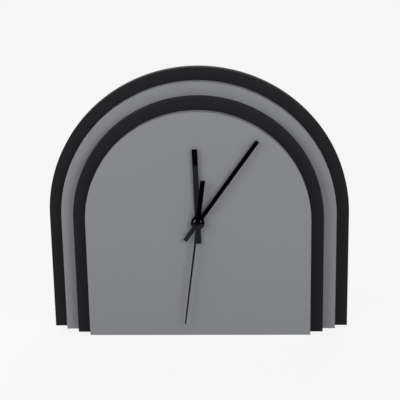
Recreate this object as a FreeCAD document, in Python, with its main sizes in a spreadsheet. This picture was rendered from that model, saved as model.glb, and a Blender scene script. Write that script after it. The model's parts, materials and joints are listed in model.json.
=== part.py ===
import FreeCAD, Part
import math
import os
import Sketcher

# A shelf clock made of four arched boards, each smaller than the one behind it.
# The boards stand flush on one base line, and the front one is the plain dial.
# A battery movement sits in a square pocket at the back and turns three hands.
# X runs to the right, Y from the front to the back, and Z up from the base.
# Y is 0 in the middle of the board stack, and X is 0 on the clock's centre line.

os.makedirs("parts", exist_ok=True)
doc = FreeCAD.newDocument("shelf_clock")

# Driving sizes, in millimetres, teeth and degrees

SIZES = [
    ("board_thickness", 5.5, "thickness of each arched board"),
    ("back_radius", 100, "arch radius of the rearmost board, half its width"),
    ("layer_step", 8.6, "how much smaller each board is than the one behind it"),
    ("spring_height", 80, "height of the arch centre above the base"),
    ("edge_round", 0.4, "rounding of the boards' edges"),
    ("pivot_height", 80.3, "height of the hands' axis above the base"),
    ("window_gap", 0.75, "gap round the movement in its pocket"),
    ("window_corner", 2, "corner radius of the pocket"),
    ("pad_thickness", 0.8, "double-sided foam pad that holds the movement"),
    ("pad_inset", 4, "how far the pad stays inside the movement's edge"),
    ("pad_hole_radius", 12, "hole in the pad round the bushing"),
    ("case_side", 56, "width and height of the movement"),
    ("case_depth", 15.6, "depth of the movement without its bushing"),
    ("case_corner", 3, "corner radius of the movement"),
    ("case_wall", 1.2, "side walls of the movement"),
    ("case_floor", 0.8, "front wall of the movement"),
    ("bushing_radius", 4, "outer radius of the bushing"),
    ("bushing_gap", 0.15, "gap between the bushing and the hole in the dial"),
    ("bushing_proud", 0.1, "how far the bushing stands in front of the dial"),
    ("post_radius", 1.5, "posts that carry the bearing plate and the cover"),
    ("post_inset", 3.8, "post centres from the inner walls"),
    ("plate_reach", 22, "top of the bearing plate above its lower posts"),
    ("cell_radius", 7.25, "battery radius"),
    ("cell_length", 49.5, "battery length without its button"),
    ("button_radius", 2.75, "radius of the battery's positive button"),
    ("button_length", 1, "height of the battery's positive button"),
    ("cell_gap", 0.25, "gap between the battery and its bay"),
    ("contact_gap", 0.1, "gap between the battery and each contact"),
    ("contact_thickness", 0.3, "contact strip"),
    ("contact_width", 8, "contact strip width"),
    ("contact_dimple_radius", 2.2, "pressed dimple of a contact"),
    ("running_gap", 0.08, "radial gap of a shaft in its bearing"),
    ("push_gap", 0.02, "radial gap of a pushed-on part"),
    ("seconds_radius", 0.5, "seconds arbor"),
    ("minute_radius", 1.65, "minute tube, outside"),
    ("hour_radius", 2.55, "hour tube, outside"),
    ("clutch_radius", 1.3, "seat of the centre wheel on the minute tube"),
    ("pivot_radius", 0.35, "arbors of the small wheels"),
    ("knob_arbor_radius", 0.9, "arbor of the minute wheel, which carries the knob"),
    ("wheel_thickness", 0.8, "every wheel"),
    ("cover_thickness", 1, "rear cover of the movement"),
    ("layer_gap", 0.4, "free depth between two layers of wheels"),
    ("pinion_lap", 0.2, "how far a pinion reaches past the wheel that it meets"),
    ("pivot_depth", 0.5, "how deep an arbor's end sits in its bearing"),
    ("plate_edge_gap", 0.3, "gap round the bearing plate, the cover and the board"),
    ("step_module", 0.28, "tooth module of the rotor and the step wheel"),
    ("rotor_teeth", 6, "rotor pinion"),
    ("step_teeth", 36, "step wheel"),
    ("seconds_module", 0.35, "tooth module of the step pinion and seconds wheel"),
    ("step_pinion_teeth", 8, "step pinion"),
    ("seconds_teeth", 40, "seconds wheel"),
    ("third_module", 0.3, "tooth module of the seconds pinion and third wheel"),
    ("seconds_pinion_teeth", 8, "seconds pinion"),
    ("third_teeth", 60, "third wheel"),
    ("third_pinion_teeth", 8, "third pinion"),
    ("centre_teeth", 64, "centre wheel"),
    ("motion_module", 0.575, "tooth module of the minute tube and minute wheel"),
    ("cannon_teeth", 8, "pinion on the minute tube"),
    ("minute_teeth", 32, "minute wheel"),
    ("minute_pinion_teeth", 10, "pinion on the minute wheel"),
    ("hour_teeth", 30, "hour wheel"),
    ("wheel_tooth", 1.5, "wheel tooth at the pitch circle, in modules"),
    ("wheel_rise", 1.15, "wheel tooth above the pitch circle, in modules"),
    ("wheel_depth", 1.2, "wheel tooth below the pitch circle, in modules"),
    ("pinion_tooth", 1.05, "pinion tooth at the pitch circle, in modules"),
    ("pinion_rise", 0.6, "pinion tooth above the pitch circle, in modules"),
    ("pinion_depth", 1.6, "pinion tooth below the pitch circle, in modules"),
    ("tip_land", 0.2, "flat at a tooth's tip, in modules"),
    ("third_angle", 165, "direction of the third wheel from the centre"),
    ("step_angle", 95, "direction of the step wheel from the centre"),
    ("minute_wheel_angle", 25, "direction of the minute wheel from the centre"),
    ("rotor_angle", 60, "direction of the rotor from the step wheel"),
    ("magnet_radius", 2.7, "rotor magnet"),
    ("magnet_length", 2, "rotor magnet along its arbor"),
    ("magnet_gap", 0.4, "air gap between the magnet and the stator"),
    ("stator_thickness", 1, "stator and coil core"),
    ("stator_rim", 1.4, "stator round the magnet"),
    ("stator_leg", 3.5, "width of the stator's legs"),
    ("coil_length", 15, "coil between the stator's legs"),
    ("coil_radius", 3.2, "coil winding"),
    ("bobbin_flange_radius", 3.5, "end flanges of the bobbin"),
    ("bobbin_flange", 0.8, "thickness of the bobbin's flanges"),
    ("bobbin_tube_radius", 2.3, "tube of the bobbin"),
    ("core_height", 2.6, "coil core across the bobbin"),
    ("coil_side", 1, "room between the coil and the case wall above it"),
    ("circuit_width", 10, "circuit board width"),
    ("circuit_height", 12.5, "circuit board height"),
    ("circuit_thickness", 1, "circuit board thickness"),
    ("crystal_radius", 1, "quartz crystal can"),
    ("crystal_length", 6, "quartz crystal can"),
    ("chip_radius", 2.5, "resin blob over the chip"),
    ("chip_height", 1.2, "resin blob over the chip"),
    ("knob_radius", 5.5, "setting knob"),
    ("knob_thickness", 3, "setting knob"),
    ("knob_floor", 0.6, "knob's end wall over its arbor"),
    ("knob_gap", 0.5, "gap between the cover and the knob"),
    ("knob_flutes", 24, "grooves round the knob"),
    ("knob_flute_radius", 0.45, "each groove"),
    ("blade_thickness", 0.4, "sheet of the hour and minute hands"),
    ("hour_rise", 0.9, "hour hand's back face above the dial"),
    ("minute_rise", 2.7, "minute hand's back face above the dial"),
    ("second_rise", 4.3, "second hand's back face above the dial"),
    ("hand_gap", 0.25, "free depth between the hands' parts"),
    ("collar_length", 0.6, "collars behind the hour and minute hands"),
    ("collar_wall", 0.7, "wall of the collars"),
    ("hub_radius", 4.45, "round hubs of the hour and minute hands"),
    ("hour_length", 50, "hour hand, axis to tip"),
    ("hour_tail", 14.6, "hour hand, axis to tail"),
    ("hour_width", 3.6, "hour hand"),
    ("minute_length", 67.8, "minute hand, axis to tip"),
    ("minute_tail", 14.7, "minute hand, axis to tail"),
    ("minute_width", 2.8, "minute hand"),
    ("second_thickness", 0.3, "sheet of the second hand"),
    ("second_length", 70.8, "second hand, axis to needle tip"),
    ("second_tail", 29.8, "second hand, axis to the end of the wide tail"),
    ("second_width", 3.1, "second hand's tail"),
    ("needle_width", 1.5, "needle beside the hub"),
    ("needle_tip_width", 1, "needle at its tip"),
    ("second_hub_radius", 3.1, "second hand's boss"),
    ("second_hub_chamfer", 0.5, "chamfer of the boss"),
    ("hour_pointing", -1.4, "hour hand, degrees clockwise from straight up"),
    ("minute_pointing", 35.4, "minute hand, degrees clockwise from straight up"),
    ("second_pointing", 187.6, "needle, degrees clockwise from straight up"),
]

sheet = doc.addObject("Spreadsheet::Sheet", "Sizes")
for row, (alias, value, meaning) in enumerate(SIZES, start=1):
    sheet.set(f"A{row}", meaning)
    sheet.set(f"B{row}", str(value))
    sheet.setAlias(f"B{row}", alias)
doc.recompute()

TOUCHING = 1e-6
HALF_PITCH = 0.5


def size(alias):
    """The number in the sheet's cell, for shapes that are worked out in code."""
    return float(sheet.get(alias))


def cell(alias):
    """The same cell, for an expression."""
    return f"Sizes.{alias}"


# Places that several pieces share, as expressions on the sheet

STACK = f"(4 * {cell('board_thickness')})"
DIAL_FACE = f"(-{STACK} / 2)"
POCKET_FLOOR = f"({DIAL_FACE} + {cell('board_thickness')})"
CASE_FRONT = f"({POCKET_FLOOR} + {cell('pad_thickness')})"
PIVOT_Z = cell("pivot_height")
CASE_HALF = f"({cell('case_side')} / 2)"
INNER_HALF = f"({CASE_HALF} - {cell('case_wall')})"
BAY_HEIGHT = f"(2 * ({cell('cell_radius')} + {cell('cell_gap')}))"
BAY_TOP = f"(-{INNER_HALF} + {BAY_HEIGHT})"
TRAIN_FLOOR = f"({BAY_TOP} + {cell('case_wall')})"
CELL_CENTRE_Z = f"(-{INNER_HALF} + {BAY_HEIGHT} / 2)"
CELL_CENTRE_Y = f"({CASE_FRONT} + {cell('case_floor')} + {cell('cell_gap')} / 2 + {cell('cell_radius')})"
LAYER_PITCH = f"({cell('wheel_thickness')} + {cell('layer_gap')})"


def layer(number):
    """Front face of a layer of wheels; layer 0 lies next to the front wall."""
    return f"({CASE_FRONT} + {cell('case_floor')} + {cell('layer_gap')} + {number} * {LAYER_PITCH})"


HOUR_LAYER, MINUTE_LAYER, CENTRE_LAYER, PLATE_LAYER = 0, 1, 2, 3
THIRD_LAYER, SECONDS_LAYER, STEP_LAYER, COVER_LAYER = 4, 5, 6, 8
FRONT_BEARING = f"({CASE_FRONT} + {cell('case_floor')} - {cell('pivot_depth')})"
REAR_BEARING = f"({layer(COVER_LAYER)} + {cell('pivot_depth')})"


def centre_distance(module, *teeth):
    return f"({cell(module)} * ({' + '.join(cell(t) for t in teeth)}) / 2)"


def polar(distance, angle, start=("0", "0")):
    """X and Z of a wheel's axis, from the axis that it is set out from."""
    along_x = f"({start[0]} + {distance} * cos({cell(angle)} * 1 deg))"
    along_z = f"({start[1]} + {distance} * sin({cell(angle)} * 1 deg))"
    return along_x, along_z


CENTRE_AXIS = ("0", "0")
THIRD_DISTANCE = centre_distance("third_module", "seconds_pinion_teeth", "third_teeth")
THIRD_AXIS = polar(THIRD_DISTANCE, "third_angle")
STEP_AXIS = polar(centre_distance("seconds_module", "step_pinion_teeth", "seconds_teeth"), "step_angle")
ROTOR_AXIS = polar(centre_distance("step_module", "rotor_teeth", "step_teeth"), "rotor_angle", STEP_AXIS)
MOTION_DISTANCE = centre_distance("motion_module", "cannon_teeth", "minute_teeth")
MINUTE_AXIS = polar(MOTION_DISTANCE, "minute_wheel_angle")

# Small helpers for primitives, booleans and outlines

FACING_BACK = FreeCAD.Rotation(FreeCAD.Vector(1, 0, 0), -90)
FACING_RIGHT = FreeCAD.Rotation(FreeCAD.Vector(0, 1, 0), 90)
subparts = []


def bind(thing, **expressions):
    for name, expression in expressions.items():
        thing.setExpression(name, expression)


def place(thing, along_x, along_y, along_z):
    thing.setExpression("Placement.Base.x", along_x)
    thing.setExpression("Placement.Base.y", along_y)
    thing.setExpression("Placement.Base.z", along_z)


def from_pivot(along_z):
    return f"({PIVOT_Z} + {along_z})"


def block(name, low, high):
    """A box between two corners; Z is measured from the hands' axis."""
    thing = doc.addObject("Part::Box", name)
    bind(
        thing,
        Length=f"{high[0]} - {low[0]}",
        Width=f"{high[1]} - {low[1]}",
        Height=f"{high[2]} - {low[2]}",
    )
    place(thing, low[0], low[1], from_pivot(low[2]))
    return thing


def rod(name, radius, axis, front, back):
    """A cylinder along Y on an axis that is set out from the hands' axis."""
    thing = doc.addObject("Part::Cylinder", name)
    thing.Placement.Rotation = FACING_BACK
    bind(thing, Radius=radius, Height=f"{back} - {front}")
    place(thing, axis[0], front, from_pivot(axis[1]))
    return thing


def cross_rod(name, radius, left, right, along_y, along_z):
    """A cylinder along X."""
    thing = doc.addObject("Part::Cylinder", name)
    thing.Placement.Rotation = FACING_RIGHT
    bind(thing, Radius=radius, Height=f"{right} - {left}")
    place(thing, left, along_y, from_pivot(along_z))
    return thing


def join(name, pieces):
    thing = doc.addObject("Part::MultiFuse", name)
    thing.Shapes = pieces
    return thing


def carve(name, base, tools):
    thing = doc.addObject("Part::Cut", name)
    thing.Base = base
    thing.Tool = tools[0] if len(tools) == 1 else join(f"{name}_tools", tools)
    return thing


def subpart(thing, label):
    thing.Label = label
    subparts.append(thing)
    return thing


def origin_feature(body, role):
    return next(item for item in body.Origin.OriginFeatures if item.Role == role)


def new_body(name):
    return doc.addObject("PartDesign::Body", name)


def front_sketch(body, name):
    """A sketch in the XZ plane, where its own x and y are X and Z."""
    sketch = body.newObject("Sketcher::SketchObject", name)
    sketch.AttachmentSupport = [(origin_feature(body, "XZ_Plane"), "")]
    sketch.MapMode = "FlatFace"
    return sketch


def constrain(sketch, kind, *args, expression=None):
    index = sketch.addConstraint(Sketcher.Constraint(kind, *args))
    if expression is not None:
        sketch.setExpression(f"Constraints[{index}]", expression)


def outline(sketch, corners):
    """A closed outline through corners given as pairs of expressions on the sheet."""
    spots = [FreeCAD.Vector(measure(x), measure(z), 0) for x, z in corners]
    count = len(corners)
    for number, spot in enumerate(spots):
        sketch.addGeometry(Part.LineSegment(spot, spots[(number + 1) % count]), False)
    for number in range(count):
        constrain(sketch, "Coincident", number, 2, (number + 1) % count, 1)
    for number, (x, z) in enumerate(corners):
        constrain(sketch, "DistanceX", -1, 1, number, 1, spots[number].x, expression=x)
        constrain(sketch, "DistanceY", -1, 1, number, 1, spots[number].y, expression=z)


def measure(expression):
    """The value of an expression now, so that a sketch starts near its final shape."""
    value = sheet.evalExpression(expression)
    return float(getattr(value, "Value", value))


def pad(body, sketch, name, length, reversed_way=False):
    feature = body.newObject("PartDesign::Pad", name)
    feature.Profile = sketch
    feature.Reversed = reversed_way
    bind(feature, Length=length)
    doc.recompute()
    return feature


def pocket(body, sketch, name, depth=None):
    """Cuts right through, or forwards from the sketch's plane to a depth."""
    before = body.Shape.Volume
    feature = body.newObject("PartDesign::Pocket", name)
    feature.Profile = sketch
    if depth is None:
        feature.Type = "ThroughAll"
        feature.SideType = "Symmetric"
    else:
        feature.Reversed = True
        bind(feature, Length=depth)
    doc.recompute()
    if not body.Shape.Volume < before:
        raise RuntimeError(f"{name} cuts nothing")
    return feature


# The four arched boards


def arch_board(label, steps_in, layers_back):
    """An arch on straight sides, steps_in steps smaller than the rear board."""
    radius = f"({cell('back_radius')} - {steps_in} * {cell('layer_step')})"
    body = new_body(f"{label}_body")
    sketch = front_sketch(body, f"{label}_outline")
    half, rise = measure(radius), size("spring_height")
    left, right = FreeCAD.Vector(-half, 0, 0), FreeCAD.Vector(half, 0, 0)
    up = FreeCAD.Vector(0, rise, 0)
    arch = Part.Circle(up, FreeCAD.Vector(0, 0, 1), half)
    base, right_side, arc, left_side = range(4)
    sketch.addGeometry(Part.LineSegment(left, right), False)
    sketch.addGeometry(Part.LineSegment(right, right + up), False)
    sketch.addGeometry(Part.ArcOfCircle(arch, 0, math.pi), False)
    sketch.addGeometry(Part.LineSegment(left + up, left), False)
    constrain(sketch, "Coincident", base, 2, right_side, 1)
    constrain(sketch, "Tangent", right_side, 2, arc, 1)
    constrain(sketch, "Tangent", arc, 2, left_side, 1)
    constrain(sketch, "Coincident", left_side, 2, base, 1)
    constrain(sketch, "Horizontal", base)
    constrain(sketch, "Vertical", right_side)
    constrain(sketch, "Vertical", left_side)
    constrain(sketch, "PointOnObject", arc, 3, -2)
    constrain(sketch, "PointOnObject", base, 1, -1)
    constrain(sketch, "Radius", arc, half, expression=radius)
    constrain(sketch, "DistanceY", -1, 1, arc, 3, rise, expression=cell("spring_height"))
    blank = pad(body, sketch, f"{label}_pad", cell("board_thickness"))
    soften = body.newObject("PartDesign::Fillet", f"{label}_edges")
    soften.Base = (blank, rim_edges(blank.Shape))
    bind(soften, Radius=cell("edge_round"))
    doc.recompute()
    place(body, "0", f"({DIAL_FACE} + {layers_back + 1} * {cell('board_thickness')})", "0")
    return body


def rim_edges(shape):
    """The edges round the front face, all but the one along the base."""
    front = shape.BoundBox.YMin
    names = []
    for number, edge in enumerate(shape.Edges, start=1):
        on_front = abs(edge.BoundBox.YMax - front) < TOUCHING
        on_base = edge.BoundBox.ZMax < TOUCHING
        if on_front and not on_base:
            names.append(f"Edge{number}")
    return names


def cut_shaft_hole(body, label):
    sketch = front_sketch(body, f"{label}_hole")
    centre = FreeCAD.Vector(0, size("pivot_height"), 0)
    radius = size("bushing_radius") + size("bushing_gap")
    sketch.addGeometry(Part.Circle(centre, FreeCAD.Vector(0, 0, 1), radius), False)
    constrain(sketch, "PointOnObject", 0, 3, -2)
    constrain(sketch, "DistanceY", -1, 1, 0, 3, centre.y, expression=PIVOT_Z)
    fit = f"{cell('bushing_radius')} + {cell('bushing_gap')}"
    constrain(sketch, "Radius", 0, radius, expression=fit)
    pocket(body, sketch, f"{label}_shaft_hole")


def cut_window(body, label):
    """The square pocket for the movement, with rounded corners."""
    half = f"({CASE_HALF} + {cell('window_gap')})"
    sketch = front_sketch(body, f"{label}_window")
    low, high = f"({PIVOT_Z} - {half})", f"({PIVOT_Z} + {half})"
    outline(sketch, [(f"(-{half})", low), (half, low), (half, high), (f"(-{half})", high)])
    window = pocket(body, sketch, f"{label}_pocket")
    corners = body.newObject("PartDesign::Fillet", f"{label}_window_corners")
    corners.Base = (window, window_corner_edges(window.Shape, measure(half)))
    bind(corners, Radius=cell("window_corner"))
    doc.recompute()


def window_corner_edges(shape, half):
    names = []
    for number, edge in enumerate(shape.Edges, start=1):
        box = edge.BoundBox
        runs_back = box.YLength > size("board_thickness") / 2
        on_side = abs(abs(box.Center.x) - half) < TOUCHING and box.XLength < TOUCHING
        above_base = box.ZMin > TOUCHING
        if runs_back and on_side and above_base and box.ZLength < TOUCHING:
            names.append(f"Edge{number}")
    return names


dial = arch_board("front_dial_panel", 3, 0)
cut_shaft_hole(dial, "front_dial_panel")
subpart(dial, "front_dial_panel")
REAR_BOARDS = [("inner_black_panel", 2, 1), ("middle_grey_panel", 1, 2), ("outer_black_panel", 0, 3)]
for board_label, steps_in, layers_back in REAR_BOARDS:
    board = arch_board(board_label, steps_in, layers_back)
    cut_window(board, board_label)
    subpart(board, board_label)

# Foam pad between the movement and the back of the dial

PAD_HALF = f"({CASE_HALF} - {cell('pad_inset')})"
pad_sheet = block(
    "pad_sheet",
    (f"(-{PAD_HALF})", POCKET_FLOOR, f"(-{PAD_HALF})"),
    (PAD_HALF, CASE_FRONT, PAD_HALF),
)
pad_hole = rod("pad_hole", cell("pad_hole_radius"), CENTRE_AXIS, POCKET_FLOOR, CASE_FRONT)
subpart(carve("pad", pad_sheet, [pad_hole]), "mounting_pad")

# Movement case: one moulding with the bushing, the train room and the battery bay

CASE_BACK = f"({CASE_FRONT} + {cell('case_depth')})"
INSIDE_FRONT = f"({CASE_FRONT} + {cell('case_floor')})"


def rounded_block(name, low, high, corner):
    """A block with its four edges along Y rounded."""
    plain = block(f"{name}_plain", low, high)
    doc.recompute()
    soft = doc.addObject("Part::Fillet", name)
    soft.Base = plain
    along_y = [n for n, e in enumerate(plain.Shape.Edges, 1) if e.BoundBox.YLength > TOUCHING]
    soft.Edges = [(number, corner, corner) for number in along_y]
    return soft


shell = rounded_block(
    "case_shell",
    (f"(-{CASE_HALF})", CASE_FRONT, f"(-{CASE_HALF})"),
    (CASE_HALF, CASE_BACK, CASE_HALF),
    size("case_corner"),
)
train_room = block(
    "train_room",
    (f"(-{INNER_HALF})", INSIDE_FRONT, TRAIN_FLOOR),
    (INNER_HALF, CASE_BACK, INNER_HALF),
)
battery_bay = block(
    "battery_bay",
    (f"(-{INNER_HALF})", INSIDE_FRONT, f"(-{INNER_HALF})"),
    (INNER_HALF, CASE_BACK, BAY_TOP),
)
hollow_case = carve("hollow_case", shell, [train_room, battery_bay])
BUSHING_END = f"({DIAL_FACE} - {cell('bushing_proud')})"
bushing = rod("bushing", cell("bushing_radius"), CENTRE_AXIS, BUSHING_END, INSIDE_FRONT)
POST_X = f"({INNER_HALF} - {cell('post_inset')})"
POST_LOW = f"({TRAIN_FLOOR} + {cell('post_inset')})"
PLATE_TOP = f"({POST_LOW} + {cell('plate_reach')})"
POST_HIGH = f"({PLATE_TOP} - {cell('post_inset')})"
POST_SPOTS = [(x, z) for z in (POST_LOW, POST_HIGH) for x in (f"(-{POST_X})", POST_X)]
posts = [
    rod(f"case_post_{number}", cell("post_radius"), spot, INSIDE_FRONT, layer(PLATE_LAYER))
    for number, spot in enumerate(POST_SPOTS, start=1)
]
solid_case = join("solid_case", [hollow_case, bushing] + posts)
PIVOT_HOLE = f"{cell('pivot_radius')} + {cell('running_gap')}"
SECONDS_HOLE = f"{cell('seconds_radius')} + {cell('running_gap')}"
KNOB_HOLE = f"{cell('knob_arbor_radius')} + {cell('running_gap')}"
HOUR_HOLE = f"{cell('hour_radius')} + {cell('running_gap')}"
bearing_holes = [
    rod("bushing_bore", HOUR_HOLE, CENTRE_AXIS, BUSHING_END, INSIDE_FRONT),
    rod("third_front_hole", PIVOT_HOLE, THIRD_AXIS, FRONT_BEARING, INSIDE_FRONT),
    rod("knob_front_hole", KNOB_HOLE, MINUTE_AXIS, FRONT_BEARING, INSIDE_FRONT),
]
SLOT_DEPTH = f"({cell('contact_thickness')} + {cell('plate_edge_gap')})"


def mirrored(near, far, on_right):
    """X of the two faces of a thing beside the case wall, lower one first."""
    return (near, far) if on_right else (f"(-{far})", f"(-{near})")


for side, on_right in (("left", False), ("right", True)):
    low_x, high_x = mirrored(f"({INNER_HALF} - {SLOT_DEPTH})", INNER_HALF, on_right)
    bearing_holes.append(
        block(
            f"{side}_contact_slot",
            (low_x, layer(STEP_LAYER), BAY_TOP),
            (high_x, CASE_BACK, TRAIN_FLOOR),
        )
    )
subpart(carve("movement_case_solid", solid_case, bearing_holes), "movement_case")

# Bearing plate and rear cover, which hold the arbors between them

PLATE_FRONT = layer(PLATE_LAYER)
PLATE_BACK = f"({PLATE_FRONT} + {cell('wheel_thickness')})"
PLATE_BEARING = f"({PLATE_BACK} - {cell('pivot_depth')})"
COVER_FRONT = layer(COVER_LAYER)
COVER_BACK = f"({COVER_FRONT} + {cell('cover_thickness')})"
ROOM_HALF = f"({INNER_HALF} - {cell('plate_edge_gap')})"
ROOM_BOTTOM = f"({TRAIN_FLOOR} + {cell('plate_edge_gap')})"

plate_sheet = block(
    "plate_sheet",
    (f"(-{ROOM_HALF})", PLATE_FRONT, ROOM_BOTTOM),
    (ROOM_HALF, PLATE_BACK, PLATE_TOP),
)
plate_holes = [
    rod("plate_seconds_hole", SECONDS_HOLE, CENTRE_AXIS, PLATE_FRONT, PLATE_BACK),
    rod("plate_third_hole", PIVOT_HOLE, THIRD_AXIS, PLATE_FRONT, PLATE_BACK),
    rod("plate_step_hole", PIVOT_HOLE, STEP_AXIS, PLATE_FRONT, PLATE_BACK),
    rod("plate_rotor_hole", PIVOT_HOLE, ROTOR_AXIS, PLATE_FRONT, PLATE_BACK),
    rod("plate_knob_hole", KNOB_HOLE, MINUTE_AXIS, PLATE_FRONT, PLATE_BACK),
]
subpart(carve("plate", plate_sheet, plate_holes), "bearing_plate")

cover_sheet = block(
    "cover_sheet",
    (f"(-{ROOM_HALF})", COVER_FRONT, ROOM_BOTTOM),
    (ROOM_HALF, COVER_BACK, ROOM_HALF),
)
cover_posts = [
    rod(f"cover_post_{number}", cell("post_radius"), spot, PLATE_BACK, COVER_FRONT)
    for number, spot in enumerate(POST_SPOTS, start=1)
]
cover_holes = [
    rod("cover_seconds_hole", SECONDS_HOLE, CENTRE_AXIS, COVER_FRONT, REAR_BEARING),
    rod("cover_third_hole", PIVOT_HOLE, THIRD_AXIS, COVER_FRONT, REAR_BEARING),
    rod("cover_step_hole", PIVOT_HOLE, STEP_AXIS, COVER_FRONT, REAR_BEARING),
    rod("cover_rotor_hole", PIVOT_HOLE, ROTOR_AXIS, COVER_FRONT, REAR_BEARING),
    rod("cover_knob_hole", KNOB_HOLE, MINUTE_AXIS, COVER_FRONT, COVER_BACK),
]
cover_solid = join("cover_solid", [cover_sheet] + cover_posts)
subpart(carve("cover", cover_solid, cover_holes), "movement_cover")

# Battery and its two contacts

BATTERY_HALF = f"(({cell('cell_length')} + {cell('button_length')}) / 2)"
CAN_RIGHT = f"({BATTERY_HALF} - {cell('button_length')})"
CELL_AXIS = (CELL_CENTRE_Y, CELL_CENTRE_Z)
can = cross_rod("battery_can", cell("cell_radius"), f"(-{BATTERY_HALF})", CAN_RIGHT, *CELL_AXIS)
button = cross_rod("battery_button", cell("button_radius"), CAN_RIGHT, BATTERY_HALF, *CELL_AXIS)
subpart(join("battery_solid", [can, button]), "battery")

STRIP_FACE = f"({INNER_HALF} - {cell('contact_thickness')})"
DIMPLE_END = f"({BATTERY_HALF} + {cell('contact_gap')})"
HALF_WIDTH = f"({cell('contact_width')} / 2)"
TAB_FRONT = f"({layer(STEP_LAYER)} + {cell('pinion_lap')})"
TAB_BACK = f"({COVER_FRONT} - {cell('pinion_lap')})"
TAB_TOP = f"({TRAIN_FLOOR} + {cell('contact_width')} / 2)"
for label, on_right in (("positive_contact", True), ("negative_contact", False)):
    face_low, face_high = mirrored(STRIP_FACE, INNER_HALF, on_right)
    dimple_low, dimple_high = mirrored(DIMPLE_END, STRIP_FACE, on_right)
    strip = block(
        f"{label}_strip",
        (face_low, f"({CELL_CENTRE_Y} - {HALF_WIDTH})", f"({CELL_CENTRE_Z} - {HALF_WIDTH})"),
        (face_high, f"({CELL_CENTRE_Y} + {HALF_WIDTH})", f"({CELL_CENTRE_Z} + {HALF_WIDTH})"),
    )
    tab = block(f"{label}_tab", (face_low, TAB_FRONT, CELL_CENTRE_Z), (face_high, TAB_BACK, TAB_TOP))
    dimple_radius = cell("contact_dimple_radius")
    dimple = cross_rod(f"{label}_dimple", dimple_radius, dimple_low, dimple_high, *CELL_AXIS)
    subpart(join(f"{label}_solid", [strip, tab, dimple]), label)

# Stator, coil and circuit board

STATOR_FRONT = PLATE_BACK
STATOR_BACK = f"({STATOR_FRONT} + {cell('stator_thickness')})"
CORE_FRONT = f"({STATOR_FRONT} - {cell('stator_thickness')})"
CORE_MIDDLE = f"({STATOR_FRONT} - {cell('stator_thickness')} / 2)"
COIL_Z = f"({INNER_HALF} - {cell('coil_side')} - {cell('bobbin_flange_radius')})"
ROTOR_X, ROTOR_Z = ROTOR_AXIS
COIL_LEFT = f"({ROTOR_X} - {cell('coil_length')} / 2)"
COIL_RIGHT = f"({ROTOR_X} + {cell('coil_length')} / 2)"
LEG_LEFT = f"({COIL_LEFT} - {cell('plate_edge_gap')} - {cell('stator_leg')})"
LEG_RIGHT = f"({COIL_RIGHT} + {cell('plate_edge_gap')} + {cell('stator_leg')})"
CORE_LOW = f"({COIL_Z} - {cell('core_height')} / 2)"
CORE_HIGH = f"({COIL_Z} + {cell('core_height')} / 2)"
MAGNET_ROOM = f"({cell('magnet_radius')} + {cell('magnet_gap')})"

RIM_RADIUS = f"{MAGNET_ROOM} + {cell('stator_rim')}"
stator_rim = rod("stator_rim", RIM_RADIUS, ROTOR_AXIS, STATOR_FRONT, STATOR_BACK)
yoke = block(
    "stator_yoke",
    (LEG_LEFT, STATOR_FRONT, ROTOR_Z),
    (LEG_RIGHT, STATOR_BACK, f"({ROTOR_Z} + {cell('stator_leg')})"),
)
left_leg = block(
    "stator_left_leg",
    (LEG_LEFT, STATOR_FRONT, ROTOR_Z),
    (f"({LEG_LEFT} + {cell('stator_leg')})", STATOR_BACK, CORE_HIGH),
)
right_leg = block(
    "stator_right_leg",
    (f"({LEG_RIGHT} - {cell('stator_leg')})", STATOR_FRONT, ROTOR_Z),
    (LEG_RIGHT, STATOR_BACK, CORE_HIGH),
)
magnet_hole = rod("stator_hole", MAGNET_ROOM, ROTOR_AXIS, STATOR_FRONT, STATOR_BACK)
stator_solid = join("stator_solid", [stator_rim, yoke, left_leg, right_leg])
subpart(carve("stator_plate", stator_solid, [magnet_hole]), "stator")

core_bar = block(
    "coil_core_bar",
    (LEG_LEFT, CORE_FRONT, CORE_LOW),
    (LEG_RIGHT, STATOR_FRONT, CORE_HIGH),
)
subpart(core_bar, "coil_core")

FLANGE = cell("bobbin_flange")
bobbin_solid = join(
    "bobbin_solid",
    [
        cross_rod("bobbin_tube", cell("bobbin_tube_radius"), COIL_LEFT, COIL_RIGHT, CORE_MIDDLE, COIL_Z),
        cross_rod(
            "bobbin_left_flange",
            cell("bobbin_flange_radius"), COIL_LEFT, f"({COIL_LEFT} + {FLANGE})", CORE_MIDDLE, COIL_Z,
        ),
        cross_rod(
            "bobbin_right_flange",
            cell("bobbin_flange_radius"), f"({COIL_RIGHT} - {FLANGE})", COIL_RIGHT, CORE_MIDDLE, COIL_Z,
        ),
    ],
)
PUSH = cell("push_gap")
core_passage = block(
    "core_passage",
    (COIL_LEFT, f"({CORE_FRONT} - {PUSH})", f"({CORE_LOW} - {PUSH})"),
    (COIL_RIGHT, f"({STATOR_FRONT} + {PUSH})", f"({CORE_HIGH} + {PUSH})"),
)
subpart(carve("bobbin", bobbin_solid, [core_passage]), "coil_bobbin")

WIRE_LEFT = f"({COIL_LEFT} + {FLANGE} + {PUSH})"
WIRE_RIGHT = f"({COIL_RIGHT} - {FLANGE} - {PUSH})"
wire_outside = cross_rod("wire_outside", cell("coil_radius"), WIRE_LEFT, WIRE_RIGHT, CORE_MIDDLE, COIL_Z)
wire_inside = cross_rod(
    "wire_inside", f"{cell('bobbin_tube_radius')} + {PUSH}", WIRE_LEFT, WIRE_RIGHT, CORE_MIDDLE, COIL_Z
)
subpart(carve("wire", wire_outside, [wire_inside]), "coil_winding")

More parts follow.
